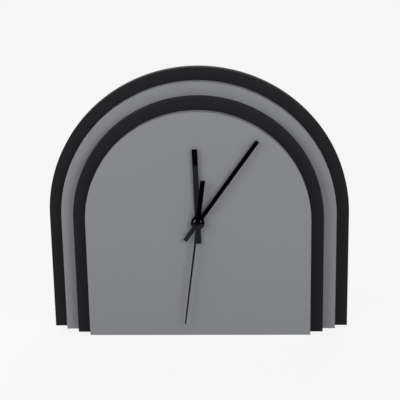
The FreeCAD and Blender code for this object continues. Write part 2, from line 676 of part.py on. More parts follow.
CIRCUIT_LEFT = f"({ROOM_HALF} - {cell('circuit_width')})"
CIRCUIT_LOW = f"({ROOM_HALF} - {cell('circuit_height')})"
CIRCUIT_FRONT = f"({COVER_FRONT} - {cell('circuit_thickness')})"
CIRCUIT_X = f"({ROOM_HALF} - {cell('circuit_width')} / 2)"
circuit_sheet = block(
    "circuit_sheet",
    (CIRCUIT_LEFT, CIRCUIT_FRONT, CIRCUIT_LOW),
    (ROOM_HALF, COVER_FRONT, ROOM_HALF),
)
subpart(circuit_sheet, "circuit_board")
CHIP_AXIS = (CIRCUIT_X, f"({CIRCUIT_LOW} + {cell('circuit_height')} / 3)")
CHIP_FRONT = f"({CIRCUIT_FRONT} - {cell('chip_height')})"
subpart(rod("chip_dome", cell("chip_radius"), CHIP_AXIS, CHIP_FRONT, CIRCUIT_FRONT), "chip")
CRYSTAL_Z = f"({ROOM_HALF} - {cell('circuit_height')} / 5)"
subpart(
    cross_rod(
        "crystal_can",
        cell("crystal_radius"),
        f"({CIRCUIT_X} - {cell('crystal_length')} / 2)",
        f"({CIRCUIT_X} + {cell('crystal_length')} / 2)",
        f"({CIRCUIT_FRONT} - {cell('crystal_radius')} - {PUSH})",
        CRYSTAL_Z,
    ),
    "quartz_crystal",
)

# Teeth, in the clockmaker's form: straight radial flanks up to the pitch circle and
# rounded tips beyond it. Sizes are in modules, from the sheet.


def spot(radius, angle):
    return FreeCAD.Vector(radius * math.cos(angle), 0, radius * math.sin(angle))


def tooth_edges(teeth, module, kind, middle):
    """One tooth and the root line that follows it, for a tooth centred on an angle."""
    pitch = teeth * module / 2
    root = pitch - size(f"{kind}_depth") * module
    rise = size(f"{kind}_rise") * module
    tip = pitch + rise
    half = size(f"{kind}_tooth") * module / 2
    land = size("tip_land") * module / 2
    drop = half - land
    bend = (rise ** 2 + drop ** 2) / (2 * drop)
    shoulder = pitch + rise / 2
    shoulder_half = half - bend + math.sqrt(bend ** 2 - (rise / 2) ** 2)
    rising = [
        spot(root, middle - half / pitch),
        spot(pitch, middle - half / pitch),
        spot(shoulder, middle - shoulder_half / shoulder),
        spot(tip, middle - land / tip),
    ]
    falling = [
        spot(tip, middle + land / tip),
        spot(shoulder, middle + shoulder_half / shoulder),
        spot(pitch, middle + half / pitch),
        spot(root, middle + half / pitch),
    ]
    next_root = spot(root, middle + 2 * math.pi / teeth - half / pitch)
    return [
        Part.LineSegment(rising[0], rising[1]),
        Part.Arc(rising[1], rising[2], rising[3]),
        Part.LineSegment(rising[3], falling[0]),
        Part.Arc(falling[0], falling[1], falling[2]),
        Part.LineSegment(falling[2], falling[3]),
        Part.LineSegment(falling[3], next_root),
    ]


def gear(name, teeth_alias, module, kind, axis, front, back, phase):
    """A toothed disc; phase is the direction of one tooth, in degrees from +X to +Z."""
    teeth = int(size(teeth_alias))
    step = 2 * math.pi / teeth
    curves = []
    for number in range(teeth):
        curves += tooth_edges(teeth, measure(module), kind, math.radians(phase) + number * step)
    profile = doc.addObject("Part::Feature", f"{name}_teeth")
    profile.Shape = Part.Face(Part.Wire([curve.toShape() for curve in curves]))
    thing = doc.addObject("Part::Extrusion", name)
    thing.Base = profile
    thing.DirMode = "Custom"
    thing.Dir = FreeCAD.Vector(0, 1, 0)
    bind(thing, LengthFwd=f"{back} - {front}")
    place(thing, axis[0], front, from_pivot(axis[1]))
    return thing


def meshed(phase, teeth_alias, axis, other_teeth_alias, other_axis):
    """The phase that puts the other gear's gap where this gear has a tooth."""
    run = measure(other_axis[0]) - measure(axis[0])
    climb = measure(other_axis[1]) - measure(axis[1])
    direction = math.degrees(math.atan2(climb, run))
    lead = ((direction - phase) * size(teeth_alias) / 360) % 1
    return direction + 180 - (HALF_PITCH - lead) * 360 / size(other_teeth_alias)


def behind(place_expression, extra):
    return f"({place_expression} + {extra})"


def layer_back(number):
    return behind(layer(number), cell("wheel_thickness"))


LAP = cell("pinion_lap")
STEP_MODULE = cell("step_module")
SECONDS_MODULE = cell("seconds_module")
THIRD_MODULE = cell("third_module")
CENTRE_MODULE = f"(2 * {THIRD_DISTANCE} / ({cell('third_pinion_teeth')} + {cell('centre_teeth')}))"
MOTION_MODULE = cell("motion_module")
HOUR_MODULE = f"(2 * {MOTION_DISTANCE} / ({cell('minute_pinion_teeth')} + {cell('hour_teeth')}))"

# Rotor: magnet and pinion on one arbor

MAGNET_FRONT = f"({STATOR_FRONT} + {cell('plate_edge_gap')})"
MAGNET_BACK = f"({MAGNET_FRONT} + {cell('magnet_length')})"
rotor_pinion = gear(
    "rotor_pinion_disc", "rotor_teeth", STEP_MODULE, "pinion", ROTOR_AXIS,
    behind(layer(STEP_LAYER), f"-{LAP}"), behind(layer_back(STEP_LAYER), LAP),
    meshed(0, "step_teeth", STEP_AXIS, "rotor_teeth", ROTOR_AXIS),
)
rotor_arbor = rod("rotor_arbor", cell("pivot_radius"), ROTOR_AXIS, PLATE_BEARING, REAR_BEARING)
subpart(join("rotor_pinion_solid", [rotor_pinion, rotor_arbor]), "rotor_pinion")
magnet = rod("magnet_disc", cell("magnet_radius"), ROTOR_AXIS, MAGNET_FRONT, MAGNET_BACK)
MAGNET_HOLE = f"{cell('pivot_radius')} + {PUSH}"
magnet_bore = rod("magnet_bore", MAGNET_HOLE, ROTOR_AXIS, MAGNET_FRONT, MAGNET_BACK)
subpart(carve("magnet", magnet, [magnet_bore]), "rotor_magnet")

# Step wheel, between the rotor and the seconds wheel

step_disc = gear(
    "step_disc", "step_teeth", STEP_MODULE, "wheel", STEP_AXIS,
    layer(STEP_LAYER), layer_back(STEP_LAYER), 0,
)
step_pinion = gear(
    "step_pinion", "step_pinion_teeth", SECONDS_MODULE, "pinion", STEP_AXIS,
    behind(layer(SECONDS_LAYER), f"-{LAP}"), layer(STEP_LAYER),
    meshed(0, "seconds_teeth", CENTRE_AXIS, "step_pinion_teeth", STEP_AXIS),
)
step_arbor = rod("step_arbor", cell("pivot_radius"), STEP_AXIS, PLATE_BEARING, REAR_BEARING)
subpart(join("step_solid", [step_disc, step_pinion, step_arbor]), "step_wheel")

# Seconds wheel on its long steel arbor, which runs through the two tubes to the hand

HOUR_BACK = f"({DIAL_FACE} - {cell('hour_rise')})"
MINUTE_BACK = f"({DIAL_FACE} - {cell('minute_rise')})"
SECOND_BACK = f"({DIAL_FACE} - {cell('second_rise')})"
ARBOR_END = f"({SECOND_BACK} + {cell('hand_gap')})"
seconds_disc = gear(
    "seconds_disc", "seconds_teeth", SECONDS_MODULE, "wheel", CENTRE_AXIS,
    layer(SECONDS_LAYER), layer_back(SECONDS_LAYER), 0,
)
seconds_pinion = gear(
    "seconds_pinion", "seconds_pinion_teeth", THIRD_MODULE, "pinion", CENTRE_AXIS,
    behind(layer(THIRD_LAYER), f"-{LAP}"), layer(SECONDS_LAYER), 0,
)
seconds_bore = rod(
    "seconds_bore", f"{cell('seconds_radius')} + {PUSH}", CENTRE_AXIS,
    behind(layer(THIRD_LAYER), f"-{LAP}"), layer_back(SECONDS_LAYER),
)
seconds_solid = join("seconds_solid", [seconds_disc, seconds_pinion])
subpart(carve("seconds_gear", seconds_solid, [seconds_bore]), "seconds_wheel")
seconds_rod = rod("seconds_rod", cell("seconds_radius"), CENTRE_AXIS, ARBOR_END, REAR_BEARING)
subpart(seconds_rod, "seconds_arbor")

# Third wheel, between the seconds arbor and the centre wheel

third_disc = gear(
    "third_disc", "third_teeth", THIRD_MODULE, "wheel", THIRD_AXIS,
    layer(THIRD_LAYER), layer_back(THIRD_LAYER),
    meshed(0, "seconds_pinion_teeth", CENTRE_AXIS, "third_teeth", THIRD_AXIS),
)
third_pinion = gear(
    "third_pinion", "third_pinion_teeth", CENTRE_MODULE, "pinion", THIRD_AXIS,
    behind(layer(CENTRE_LAYER), f"-{LAP}"), behind(layer_back(CENTRE_LAYER), LAP), 0,
)
third_arbor = rod("third_arbor", cell("pivot_radius"), THIRD_AXIS, FRONT_BEARING, REAR_BEARING)
subpart(join("third_solid", [third_disc, third_pinion, third_arbor]), "third_wheel")

# Minute tube with its pinion, and the centre wheel that grips it as a slipping clutch

centre_disc = gear(
    "centre_disc", "centre_teeth", CENTRE_MODULE, "wheel", CENTRE_AXIS,
    layer(CENTRE_LAYER), layer_back(CENTRE_LAYER),
    meshed(0, "third_pinion_teeth", THIRD_AXIS, "centre_teeth", CENTRE_AXIS),
)
centre_bore = rod(
    "centre_bore", f"{cell('clutch_radius')} + {PUSH}", CENTRE_AXIS,
    layer(CENTRE_LAYER), layer_back(CENTRE_LAYER),
)
subpart(carve("centre_gear", centre_disc, [centre_bore]), "centre_wheel")

CANNON_FRONT = behind(layer(MINUTE_LAYER), f"-{LAP}")
CANNON_BACK = behind(layer_back(MINUTE_LAYER), LAP)
MINUTE_TUBE_END = f"({MINUTE_BACK} - {cell('blade_thickness')})"
CLUTCH_BACK = behind(layer_back(CENTRE_LAYER), LAP)
cannon = gear(
    "cannon_pinion", "cannon_teeth", MOTION_MODULE, "pinion", CENTRE_AXIS, CANNON_FRONT, CANNON_BACK, 0
)
minute_pipe = rod("minute_pipe", cell("minute_radius"), CENTRE_AXIS, MINUTE_TUBE_END, CANNON_FRONT)
clutch_seat = rod("clutch_seat", cell("clutch_radius"), CENTRE_AXIS, CANNON_BACK, CLUTCH_BACK)
minute_bore = rod("minute_bore", SECONDS_HOLE, CENTRE_AXIS, MINUTE_TUBE_END, CLUTCH_BACK)
minute_solid = join("minute_solid", [cannon, minute_pipe, clutch_seat])
subpart(carve("minute_shaft", minute_solid, [minute_bore]), "minute_tube")

# Minute wheel, whose arbor goes out through the cover to the setting knob

KNOB_FRONT = f"({COVER_BACK} + {cell('knob_gap')})"
KNOB_BACK = f"({KNOB_FRONT} + {cell('knob_thickness')})"
minute_disc = gear(
    "minute_disc", "minute_teeth", MOTION_MODULE, "wheel", MINUTE_AXIS,
    layer(MINUTE_LAYER), layer_back(MINUTE_LAYER),
    meshed(0, "cannon_teeth", CENTRE_AXIS, "minute_teeth", MINUTE_AXIS),
)
minute_pinion = gear(
    "minute_pinion", "minute_pinion_teeth", HOUR_MODULE, "pinion", MINUTE_AXIS,
    behind(layer(HOUR_LAYER), f"-{LAP}"), layer(MINUTE_LAYER), 0,
)
KNOB_SEAT = f"({KNOB_BACK} - {cell('knob_floor')})"
knob_arbor = rod("knob_arbor", cell("knob_arbor_radius"), MINUTE_AXIS, FRONT_BEARING, KNOB_SEAT)
subpart(join("minute_wheel_solid", [minute_disc, minute_pinion, knob_arbor]), "minute_wheel")


def ring_sketch(body, name, radius):
    sketch = front_sketch(body, name)
    middle, facing = FreeCAD.Vector(0, 0, 0), FreeCAD.Vector(0, 0, 1)
    sketch.addGeometry(Part.Circle(middle, facing, measure(radius)), False)
    constrain(sketch, "Coincident", 0, 3, -1, 1)
    constrain(sketch, "Radius", 0, measure(radius), expression=radius)
    return sketch


def fluted_knob():
    body = new_body("knob_body")
    knob_round = ring_sketch(body, "knob_round", cell("knob_radius"))
    pad(body, knob_round, "knob_disc", cell("knob_thickness"))
    flute_sketch = front_sketch(body, "knob_flute_round")
    centre = FreeCAD.Vector(0, size("knob_radius"), 0)
    flute_radius = size("knob_flute_radius")
    flute_sketch.addGeometry(Part.Circle(centre, FreeCAD.Vector(0, 0, 1), flute_radius), False)
    constrain(flute_sketch, "PointOnObject", 0, 3, -2)
    constrain(flute_sketch, "DistanceY", -1, 1, 0, 3, centre.y, expression=cell("knob_radius"))
    constrain(flute_sketch, "Radius", 0, flute_radius, expression=cell("knob_flute_radius"))
    flute = pocket(body, flute_sketch, "knob_flute")
    flutes = body.newObject("PartDesign::PolarPattern", "knob_fluting")
    flutes.Originals = [flute]
    flutes.Axis = (origin_feature(body, "Y_Axis"), [""])
    flutes.Angle = 360
    bind(flutes, Occurrences=cell("knob_flutes"))
    body.Tip = flutes
    doc.recompute()
    seat = ring_sketch(body, "knob_seat_round", f"{cell('knob_arbor_radius')} + {PUSH}")
    pocket(body, seat, "knob_seat", depth=f"{cell('knob_thickness')} - {cell('knob_floor')}")
    return body


knob = fluted_knob()
knob.Placement.Rotation = FreeCAD.Rotation(FreeCAD.Vector(0, 0, 1), 180)
place(knob, MINUTE_AXIS[0], KNOB_FRONT, from_pivot(MINUTE_AXIS[1]))
subpart(knob, "setting_knob")

# Hour wheel and its tube, which runs in the bushing

HOUR_TUBE_END = f"({HOUR_BACK} - {cell('blade_thickness')})"
hour_disc = gear(
    "hour_disc", "hour_teeth", HOUR_MODULE, "wheel", CENTRE_AXIS,
    layer(HOUR_LAYER), layer_back(HOUR_LAYER),
    meshed(0, "minute_pinion_teeth", MINUTE_AXIS, "hour_teeth", CENTRE_AXIS),
)
hour_pipe = rod("hour_pipe", cell("hour_radius"), CENTRE_AXIS, HOUR_TUBE_END, layer(HOUR_LAYER))
MINUTE_HOLE = f"{cell('minute_radius')} + {cell('running_gap')}"
hour_bore = rod("hour_bore", MINUTE_HOLE, CENTRE_AXIS, HOUR_TUBE_END, layer_back(HOUR_LAYER))
subpart(carve("hour_shaft", join("hour_solid", [hour_disc, hour_pipe]), [hour_bore]), "hour_wheel")

# Hands: each is drawn pointing straight up from its own origin, with its sheet in
# front of the XZ plane and its collar or boss behind it


def set_hand(body, back, pointing):
    body.Placement.Rotation = FreeCAD.Rotation(FreeCAD.Vector(0, 1, 0), size(pointing))
    place(body, "0", back, PIVOT_Z)


def baton_hand(label, tube_radius, back):
    """A straight bar with a tail, a round hub and a collar that grips its tube."""
    body = new_body(f"{label}_hand_body")
    half = f"({cell(f'{label}_width')} / 2)"
    tip, tail = cell(f"{label}_length"), f"(-{cell(f'{label}_tail')})"
    bar = front_sketch(body, f"{label}_bar")
    outline(bar, [(f"(-{half})", tail), (half, tail), (half, tip), (f"(-{half})", tip)])
    pad(body, bar, f"{label}_blade", cell("blade_thickness"))
    hub = ring_sketch(body, f"{label}_hub_round", cell("hub_radius"))
    pad(body, hub, f"{label}_hub", cell("blade_thickness"))
    grip = f"{cell(tube_radius)} + {PUSH}"
    collar = ring_sketch(body, f"{label}_collar_round", f"{grip} + {cell('collar_wall')}")
    pad(body, collar, f"{label}_collar", cell("collar_length"), reversed_way=True)
    pocket(body, ring_sketch(body, f"{label}_grip_round", grip), f"{label}_grip")
    set_hand(body, back, f"{label}_pointing")
    subpart(body, f"{label}_hand")


baton_hand("hour", "hour_radius", HOUR_BACK)
baton_hand("minute", "minute_radius", MINUTE_BACK)


def turned(kind, name, front, back, **sizes):
    """A cylinder or cone along Y on a hand's own origin, its first radius in front."""
    thing = doc.addObject(f"Part::{kind}", name)
    thing.Placement.Rotation = FACING_BACK
    bind(thing, Height=f"{back} - {front}", **sizes)
    place(thing, "0", front, "0")
    return thing


def sweep_hand():
    """A tapering needle with a broad tail, on a chamfered boss over the arbor's end."""
    body = new_body("second_hand_sheet")
    wide, narrow = f"({cell('second_width')} / 2)", f"({cell('needle_width')} / 2)"
    point, tip = f"({cell('needle_tip_width')} / 2)", cell("second_length")
    tail = f"(-{cell('second_tail')})"
    blade = front_sketch(body, "second_outline")
    outline(
        blade,
        [
            (f"(-{wide})", tail), (wide, tail), (wide, "0"), (narrow, "0"),
            (point, tip), (f"(-{point})", tip), (f"(-{narrow})", "0"), (f"(-{wide})", "0"),
        ],
    )
    pad(body, blade, "second_blade", cell("second_thickness"))
    radius, bevel = cell("second_hub_radius"), cell("second_hub_chamfer")
    boss_back = f"({MINUTE_BACK} - {cell('blade_thickness')} - {cell('hand_gap')} - {SECOND_BACK})"
    rim = turned("Cone", "second_rim", "0", bevel, Radius1=f"{radius} - {bevel}", Radius2=radius)
    boss = turned("Cylinder", "second_boss", bevel, boss_back, Radius=radius)
    seat = turned("Cylinder", "second_seat", "0", boss_back, Radius=f"{cell('seconds_radius')} + {PUSH}")
    hand = carve("second_hand_solid", join("second_hand_pieces", [body, rim, boss]), [seat])
    doc.recompute()
    set_hand(hand, SECOND_BACK, "second_pointing")
    subpart(hand, "second_hand")


sweep_hand()

# Check every object, then write each sub-part

doc.recompute()
for thing in doc.Objects:
    if "Invalid" in thing.State or "Error" in thing.State:
        raise RuntimeError(f"{thing.Name} failed: {thing.State}")
for thing in subparts:
    shape = thing.Shape
    if shape.isNull() or not shape.isValid() or shape.Volume <= 0:
        raise RuntimeError(f"{thing.Label} has no valid solid")
    shape.exportStep(f"parts/{thing.Label}.step")
    box = shape.optimalBoundingBox(False)
    print(
        f"{thing.Label}: {len(shape.Solids)} solid, {shape.Volume:.2f} mm3,"
        f" X {box.XMin:.2f} to {box.XMax:.2f}, Y {box.YMin:.2f} to {box.YMax:.2f},"
        f" Z {box.ZMin:.2f} to {box.ZMax:.2f}"
    )
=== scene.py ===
# %% [markdown]
# # An arched shelf clock
# The real clock is a stack of four painted fibreboard arches, each smaller than the one
# behind it. The front one is a bare grey dial with three black hands, and a battery
# movement sits in a square pocket at the back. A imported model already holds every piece
# at its real size and place. This lesson dresses that model: plain solids that show are
# modelled again with their soft edges and small details, and every piece gets a finish.

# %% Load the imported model
import json
import math

import bmesh
import bpy
from mathutils import Matrix, Vector

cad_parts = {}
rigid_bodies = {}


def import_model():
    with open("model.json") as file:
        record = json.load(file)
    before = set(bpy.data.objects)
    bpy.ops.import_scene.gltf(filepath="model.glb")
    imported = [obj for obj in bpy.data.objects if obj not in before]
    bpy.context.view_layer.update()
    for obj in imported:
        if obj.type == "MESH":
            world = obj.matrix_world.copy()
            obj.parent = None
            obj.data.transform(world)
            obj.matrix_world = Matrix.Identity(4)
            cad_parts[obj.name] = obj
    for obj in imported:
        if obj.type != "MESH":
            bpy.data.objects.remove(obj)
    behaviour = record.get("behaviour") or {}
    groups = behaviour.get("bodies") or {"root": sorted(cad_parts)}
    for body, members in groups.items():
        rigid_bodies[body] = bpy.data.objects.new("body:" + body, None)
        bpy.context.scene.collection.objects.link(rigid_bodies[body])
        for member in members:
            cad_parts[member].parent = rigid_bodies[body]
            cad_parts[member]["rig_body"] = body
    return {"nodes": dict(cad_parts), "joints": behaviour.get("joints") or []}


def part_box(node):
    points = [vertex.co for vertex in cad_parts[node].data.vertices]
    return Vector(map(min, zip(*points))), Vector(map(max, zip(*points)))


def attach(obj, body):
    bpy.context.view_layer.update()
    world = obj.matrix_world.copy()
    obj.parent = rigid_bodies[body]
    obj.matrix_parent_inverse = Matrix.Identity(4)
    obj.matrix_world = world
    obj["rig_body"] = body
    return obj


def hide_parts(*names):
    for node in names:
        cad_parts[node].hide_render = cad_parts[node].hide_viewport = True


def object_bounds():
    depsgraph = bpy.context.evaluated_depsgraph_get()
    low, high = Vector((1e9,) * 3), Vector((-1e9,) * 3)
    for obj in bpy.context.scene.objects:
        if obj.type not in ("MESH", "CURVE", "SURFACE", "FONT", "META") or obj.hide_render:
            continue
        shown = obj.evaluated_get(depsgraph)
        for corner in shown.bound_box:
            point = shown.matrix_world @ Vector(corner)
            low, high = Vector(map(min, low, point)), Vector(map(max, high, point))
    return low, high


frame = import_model()
CAD_LOW, CAD_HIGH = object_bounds()
MM = 0.001
PIVOT = Vector(next(j["pos_m"] for j in frame["joints"] if j["name"] == "second_hand_turn"))
print(f"{len(frame['nodes'])} pieces; the hands turn {PIVOT.z / MM:.1f} mm above the base")

# %% [markdown]
# ## Working by hand, in code
# Blender's modelling operators act on whatever is selected, so each step starts with
# nothing selected, and faces and edges are then picked by where they are. These helpers
# name the few moves that the whole lesson uses.

# %% Helpers for selecting and editing


def select_only(piece):
    """Selects just this piece and makes it the active one."""
    bpy.ops.object.select_all(action="DESELECT")
    piece.select_set(True)
    bpy.context.view_layer.objects.active = piece


def settle(name):
    """Names the primitive that was just added and moves its place into its mesh."""
    piece = bpy.context.active_object
    select_only(piece)
    piece.name = name
    piece.data.name = name
    bpy.ops.object.transform_apply(location=True, rotation=True, scale=True)
    return piece


def open_mesh(piece):
    select_only(piece)
    bpy.ops.object.mode_set(mode="EDIT")
    bpy.ops.mesh.select_all(action="DESELECT")


def close_mesh():
    bpy.ops.object.mode_set(mode="OBJECT")


def middle(part):
    """The middle of a face or an edge."""
    return sum((vert.co for vert in part.verts), Vector()) / len(part.verts)


def pick(kind, test):
    """Selects the vertices, edges or faces of the open mesh that pass a test."""
    bpy.ops.mesh.select_mode(type=kind)
    bpy.ops.mesh.select_all(action="DESELECT")
    mesh = bmesh.from_edit_mesh(bpy.context.edit_object.data)
    parts = {"VERT": mesh.verts, "EDGE": mesh.edges, "FACE": mesh.faces}[kind]
    for part in parts:
        if test(part):
            part.select_set(True)
    mesh.select_flush_mode()
    bmesh.update_edit_mesh(bpy.context.edit_object.data)


NEAR = 0.01 * MM


def lies_at(edge, axis, level):
    """Whether both ends of an edge have this x, y or z."""
    return all(abs(getattr(vert.co, axis) - level) < NEAR for vert in edge.verts)


def extrude(*step):
    bpy.ops.mesh.extrude_region_move(TRANSFORM_OT_translate={"value": step})


# %% Helpers for primitives
UPRIGHT = (math.pi / 2, 0, 0)


def add_block(name, low, high):
    """A box between two corners."""
    low, high = Vector(low), Vector(high)
    bpy.ops.mesh.primitive_cube_add(size=1, location=(low + high) / 2)
    bpy.context.active_object.scale = high - low
    return settle(name)


def add_disc(name, radius, front, back, x=PIVOT.x, z=PIVOT.z, sides=96):
    """A cylinder that lies along Y."""
    place = (x, (front + back) / 2, z)
    bpy.ops.mesh.primitive_cylinder_add(
        vertices=sides, radius=radius, depth=back - front, location=place, rotation=UPRIGHT
    )
    return settle(name)


# %% Helpers for shaping and finishing


def bevel_edges(piece, width, segments, test):
    """Rounds the edges that pass the test."""
    open_mesh(piece)
    pick("EDGE", test)
    bpy.ops.mesh.bevel(offset=width, segments=segments, affect="EDGES", clamp_overlap=True)
    close_mesh()


def combine(piece, other, operation):
    """Joins another closed mesh to a piece, or cuts it away, and uses it up."""
    select_only(piece)
    step = piece.modifiers.new("combine", "BOOLEAN")
    step.operation = operation
    step.solver = "EXACT"
    step.object = other
    bpy.ops.object.modifier_apply(modifier=step.name)
    bpy.data.objects.remove(other)


def soften(piece, width, segments=2, sharper_than=50):
    """Rounds every edge sharper than an angle, as a mould or a coat of paint does."""
    select_only(piece)
    step = piece.modifiers.new("soft edges", "BEVEL")
    step.width = width
    step.segments = segments
    step.limit_method = "ANGLE"
    step.angle_limit = math.radians(sharper_than)
    bpy.ops.object.modifier_apply(modifier=step.name)


SMOOTH_BELOW = math.radians(40)


def shade(piece):
    """Smooth shading on the roundings, with the large flat faces kept flat."""
    select_only(piece)
    bpy.ops.object.shade_smooth_by_angle(angle=SMOOTH_BELOW)
    step = piece.modifiers.new("flat faces", "WEIGHTED_NORMAL")
    step.keep_sharp = True
    bpy.ops.object.modifier_apply(modifier=step.name)


def install(piece, node, material):
    """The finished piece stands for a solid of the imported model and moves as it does."""
    shade(piece)
    piece.data.materials.clear()
    piece.data.materials.append(material)
    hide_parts(node)
    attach(piece, frame["nodes"][node]["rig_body"])
    print(f"{piece.name}: {len(piece.data.polygons)} faces, stands for {node}")


# %% [markdown]
# ## Shader maths as Python
# A finish is worked out from noise, position and simple sums. Adding each Math node by
# hand makes such a sum hard to read, so one small class wraps a socket: a plus sign
# between two of them adds the node. Every other node comes from its `node` method.

# %% The socket class


class Signal:
    """The value of a socket, for sums written as Python."""

    def __init__(self, socket):
        self.socket = socket

    @staticmethod
    def node(tree, kind, settings=None, sockets=None, output=0):
        """Adds a node, sets it up, fills its sockets and gives one of its outputs."""
        made = tree.nodes.new(kind)
        for name, value in (settings or {}).items():
            if name == "stops":
                Signal.set_stops(made.color_ramp, value)
            else:
                setattr(made, name, value)
        for name, value in (sockets or {}).items():
            if isinstance(value, Signal):
                tree.links.new(value.socket, made.inputs[name])
            else:
                made.inputs[name].default_value = value
        return Signal(made.outputs[output])

    @staticmethod
    def set_stops(ramp, stops):
        """A ramp's stops, as pairs of a position and a colour."""
        while len(ramp.elements) < len(stops):
            ramp.elements.new(1)
        for element, (position, colour) in zip(ramp.elements, stops):
            element.position = position
            element.color = colour

    def operate(self, operation, first, second):
        tree = self.socket.id_data
        return Signal.node(
            tree, "ShaderNodeMath", {"operation": operation}, {0: first, 1: second}
        )

    def __add__(self, other):
        return self.operate("ADD", self, other)

    def __radd__(self, other):
        return self.operate("ADD", other, self)

    def __sub__(self, other):
        return self.operate("SUBTRACT", self, other)

    def __rsub__(self, other):
        return self.operate("SUBTRACT", other, self)

    def __mul__(self, other):
        return self.operate("MULTIPLY", self, other)

    def __rmul__(self, other):
        return self.operate("MULTIPLY", other, self)

    def __gt__(self, other):
        return self.operate("GREATER_THAN", self, other)

    def __lt__(self, other):
        return self.operate("LESS_THAN", self, other)


# %% Helpers for finishes
FACTOR, FROM, TO, COLOUR_OUT = 0, 6, 7, 2


def paint(red, green, blue):
    """A colour as it looks on a screen, 0 to 255, turned into the light that it returns."""
    light = []
    for level in (red, green, blue):
        share = level / 255
        light.append(share / 12.92 if share <= 0.04045 else ((share + 0.055) / 1.055) ** 2.4)
    return (*light, 1.0)


def toned(colour, share):
    """The colour, made darker or lighter."""
    return tuple(level * share for level in colour[:3]) + (1.0,)


def new_finish(name, **fixed):
    """A material whose fixed numbers sit on the shader's own sockets."""
    material = bpy.data.materials.new(name)
    material.use_nodes = True
    shader = material.node_tree.nodes["Principled BSDF"]
    for socket, value in fixed.items():
        shader.inputs[socket.replace("_", " ")].default_value = value
    return material


def drive(material, socket, signal):
    """Lets a signal set one socket of the material's shader."""
    tree = material.node_tree
    tree.links.new(signal.socket, tree.nodes["Principled BSDF"].inputs[socket])


def place_on(material):
    """Object coordinates, in metres."""
    return Signal.node(material.node_tree, "ShaderNodeTexCoord", output="Object")


def noise(material, scale, detail=2.0, roughness=0.5, where=None):
    place = place_on(material) if where is None else where
    sockets = {"Vector": place, "Scale": scale, "Detail": detail, "Roughness": roughness}
    return Signal.node(material.node_tree, "ShaderNodeTexNoise", None, sockets)


def stretched(material, x, y, z):
    """Object coordinates scaled apart, for grain that runs one way."""
    sockets = {"Vector": place_on(material), "Scale": (x, y, z)}
    return Signal.node(material.node_tree, "ShaderNodeMapping", None, sockets)


def along(axis, vector):
    """The X, Y or Z of a vector signal."""
    tree = vector.socket.id_data
    return Signal.node(tree, "ShaderNodeSeparateXYZ", None, {"Vector": vector}, axis)


def mixed(material, factor, first, second):
    """A colour between two colours."""
    sockets = {FACTOR: factor, FROM: first, TO: second}
    settings = {"data_type": "RGBA"}
    return Signal.node(material.node_tree, "ShaderNodeMix", settings, sockets, COLOUR_OUT)


def bumped(material, height, depth):
    """A surface normal from a height; depth is the real height of a signal of one."""
    sockets = {"Height": height, "Distance": depth}
    return Signal.node(material.node_tree, "ShaderNodeBump", None, sockets)


def count_nodes(*materials):
    for material in materials:
        print(f"{material.name}: {len(material.node_tree.nodes)} nodes")


# %% [markdown]
# ## Painted fibreboard
# The boards are fibreboard under sprayed satin paint. Sprayed paint dries with a faint
# orange-peel texture about a millimetre across, and its colour and sheen drift a little
# over a board. The cut edges drink more paint, so they dry rougher than the faces. The
# face and the edge are told apart by which way the surface points.

# %% The two paints


def board_paint(name, colour, drift, roughness, specular):
    """Sprayed satin paint on fibreboard; drift is how far its colour wanders."""
    finish = new_finish(name, Specular_IOR_Level=specular)
    facing = Signal.node(finish.node_tree, "ShaderNodeTexCoord", output="Normal")
    forward = along("Y", facing)
    face = forward * forward
    edge = 1 - face
    cloud = noise(finish, 14, detail=3)
    speck = noise(finish, 2600, detail=2)
    peel = noise(finish, 620, detail=2.5, roughness=0.45)
    fibre = noise(finish, 2100, detail=4, roughness=0.65)
    darker, lighter = toned(colour, 1 - drift), toned(colour, 1 + drift)
    tone = 0.75 * cloud + 0.25 * speck
    drive(finish, "Base Color", mixed(finish, tone, darker, lighter))
    drive(finish, "Roughness", roughness + 0.08 * cloud + 0.3 * edge)
    height = 0.6 * peel * face + 0.25 * speck + edge * fibre
    drive(finish, "Normal", bumped(finish, height, 0.012 * MM))
    return finish


GREY_PAINT = board_paint("grey_board_paint", paint(134, 135, 139), 0.03, 0.5, 0.3)
BLACK_PAINT = board_paint("black_board_paint", paint(26, 26, 30), 0.08, 0.48, 0.28)
count_nodes(GREY_PAINT, BLACK_PAINT)

# %% [markdown]
# ## The four arches
# Each board is a half disc on a rectangle, cut from sheet and rounded only along the
# front of its rim. A circle gives the outline: it is cut at the height of its centre, the
# straight edge is pulled down to the base, and the flat shape is pulled back to the
# board's thickness. Many sides keep the arch smooth in any view, because the packed
# solid's own outline is made of facets a few millimetres long.

# %% One arch from a circle
ARCH_SIDES = 288
BOARD_ROUND = 0.4 * MM


def arch_board(node):
    """The board's outline, pulled to its thickness, with its front rim rounded."""
    low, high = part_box(node)
    radius = (high.x - low.x) / 2
    spring = high.z - radius
    bpy.ops.mesh.primitive_circle_add(
        vertices=ARCH_SIDES, radius=radius, fill_type="NGON",
        location=(0, low.y, spring), rotation=UPRIGHT,
    )
    board = settle(node.replace("panel", "board"))
    open_mesh(board)
    bpy.ops.mesh.select_all(action="SELECT")
    bpy.ops.mesh.bisect(
        plane_co=(0, low.y, spring), plane_no=(0, 0, 1), clear_inner=True, use_fill=False
    )
    pick("EDGE", lambda edge: lies_at(edge, "z", spring))
    extrude(0, 0, low.z - spring)
    pick("EDGE", lambda edge: len(edge.link_faces) == 2)
    bpy.ops.mesh.dissolve_edges(use_verts=False)
    bpy.ops.mesh.select_all(action="SELECT")
    extrude(0, high.y - low.y, 0)
    bpy.ops.mesh.select_all(action="SELECT")
    bpy.ops.mesh.normals_make_consistent(inside=False)
    close_mesh()
    bevel_edges(
        board, BOARD_ROUND, 4,
        lambda edge: lies_at(edge, "y", low.y) and middle(edge).z > low.z + NEAR,
    )
    return board


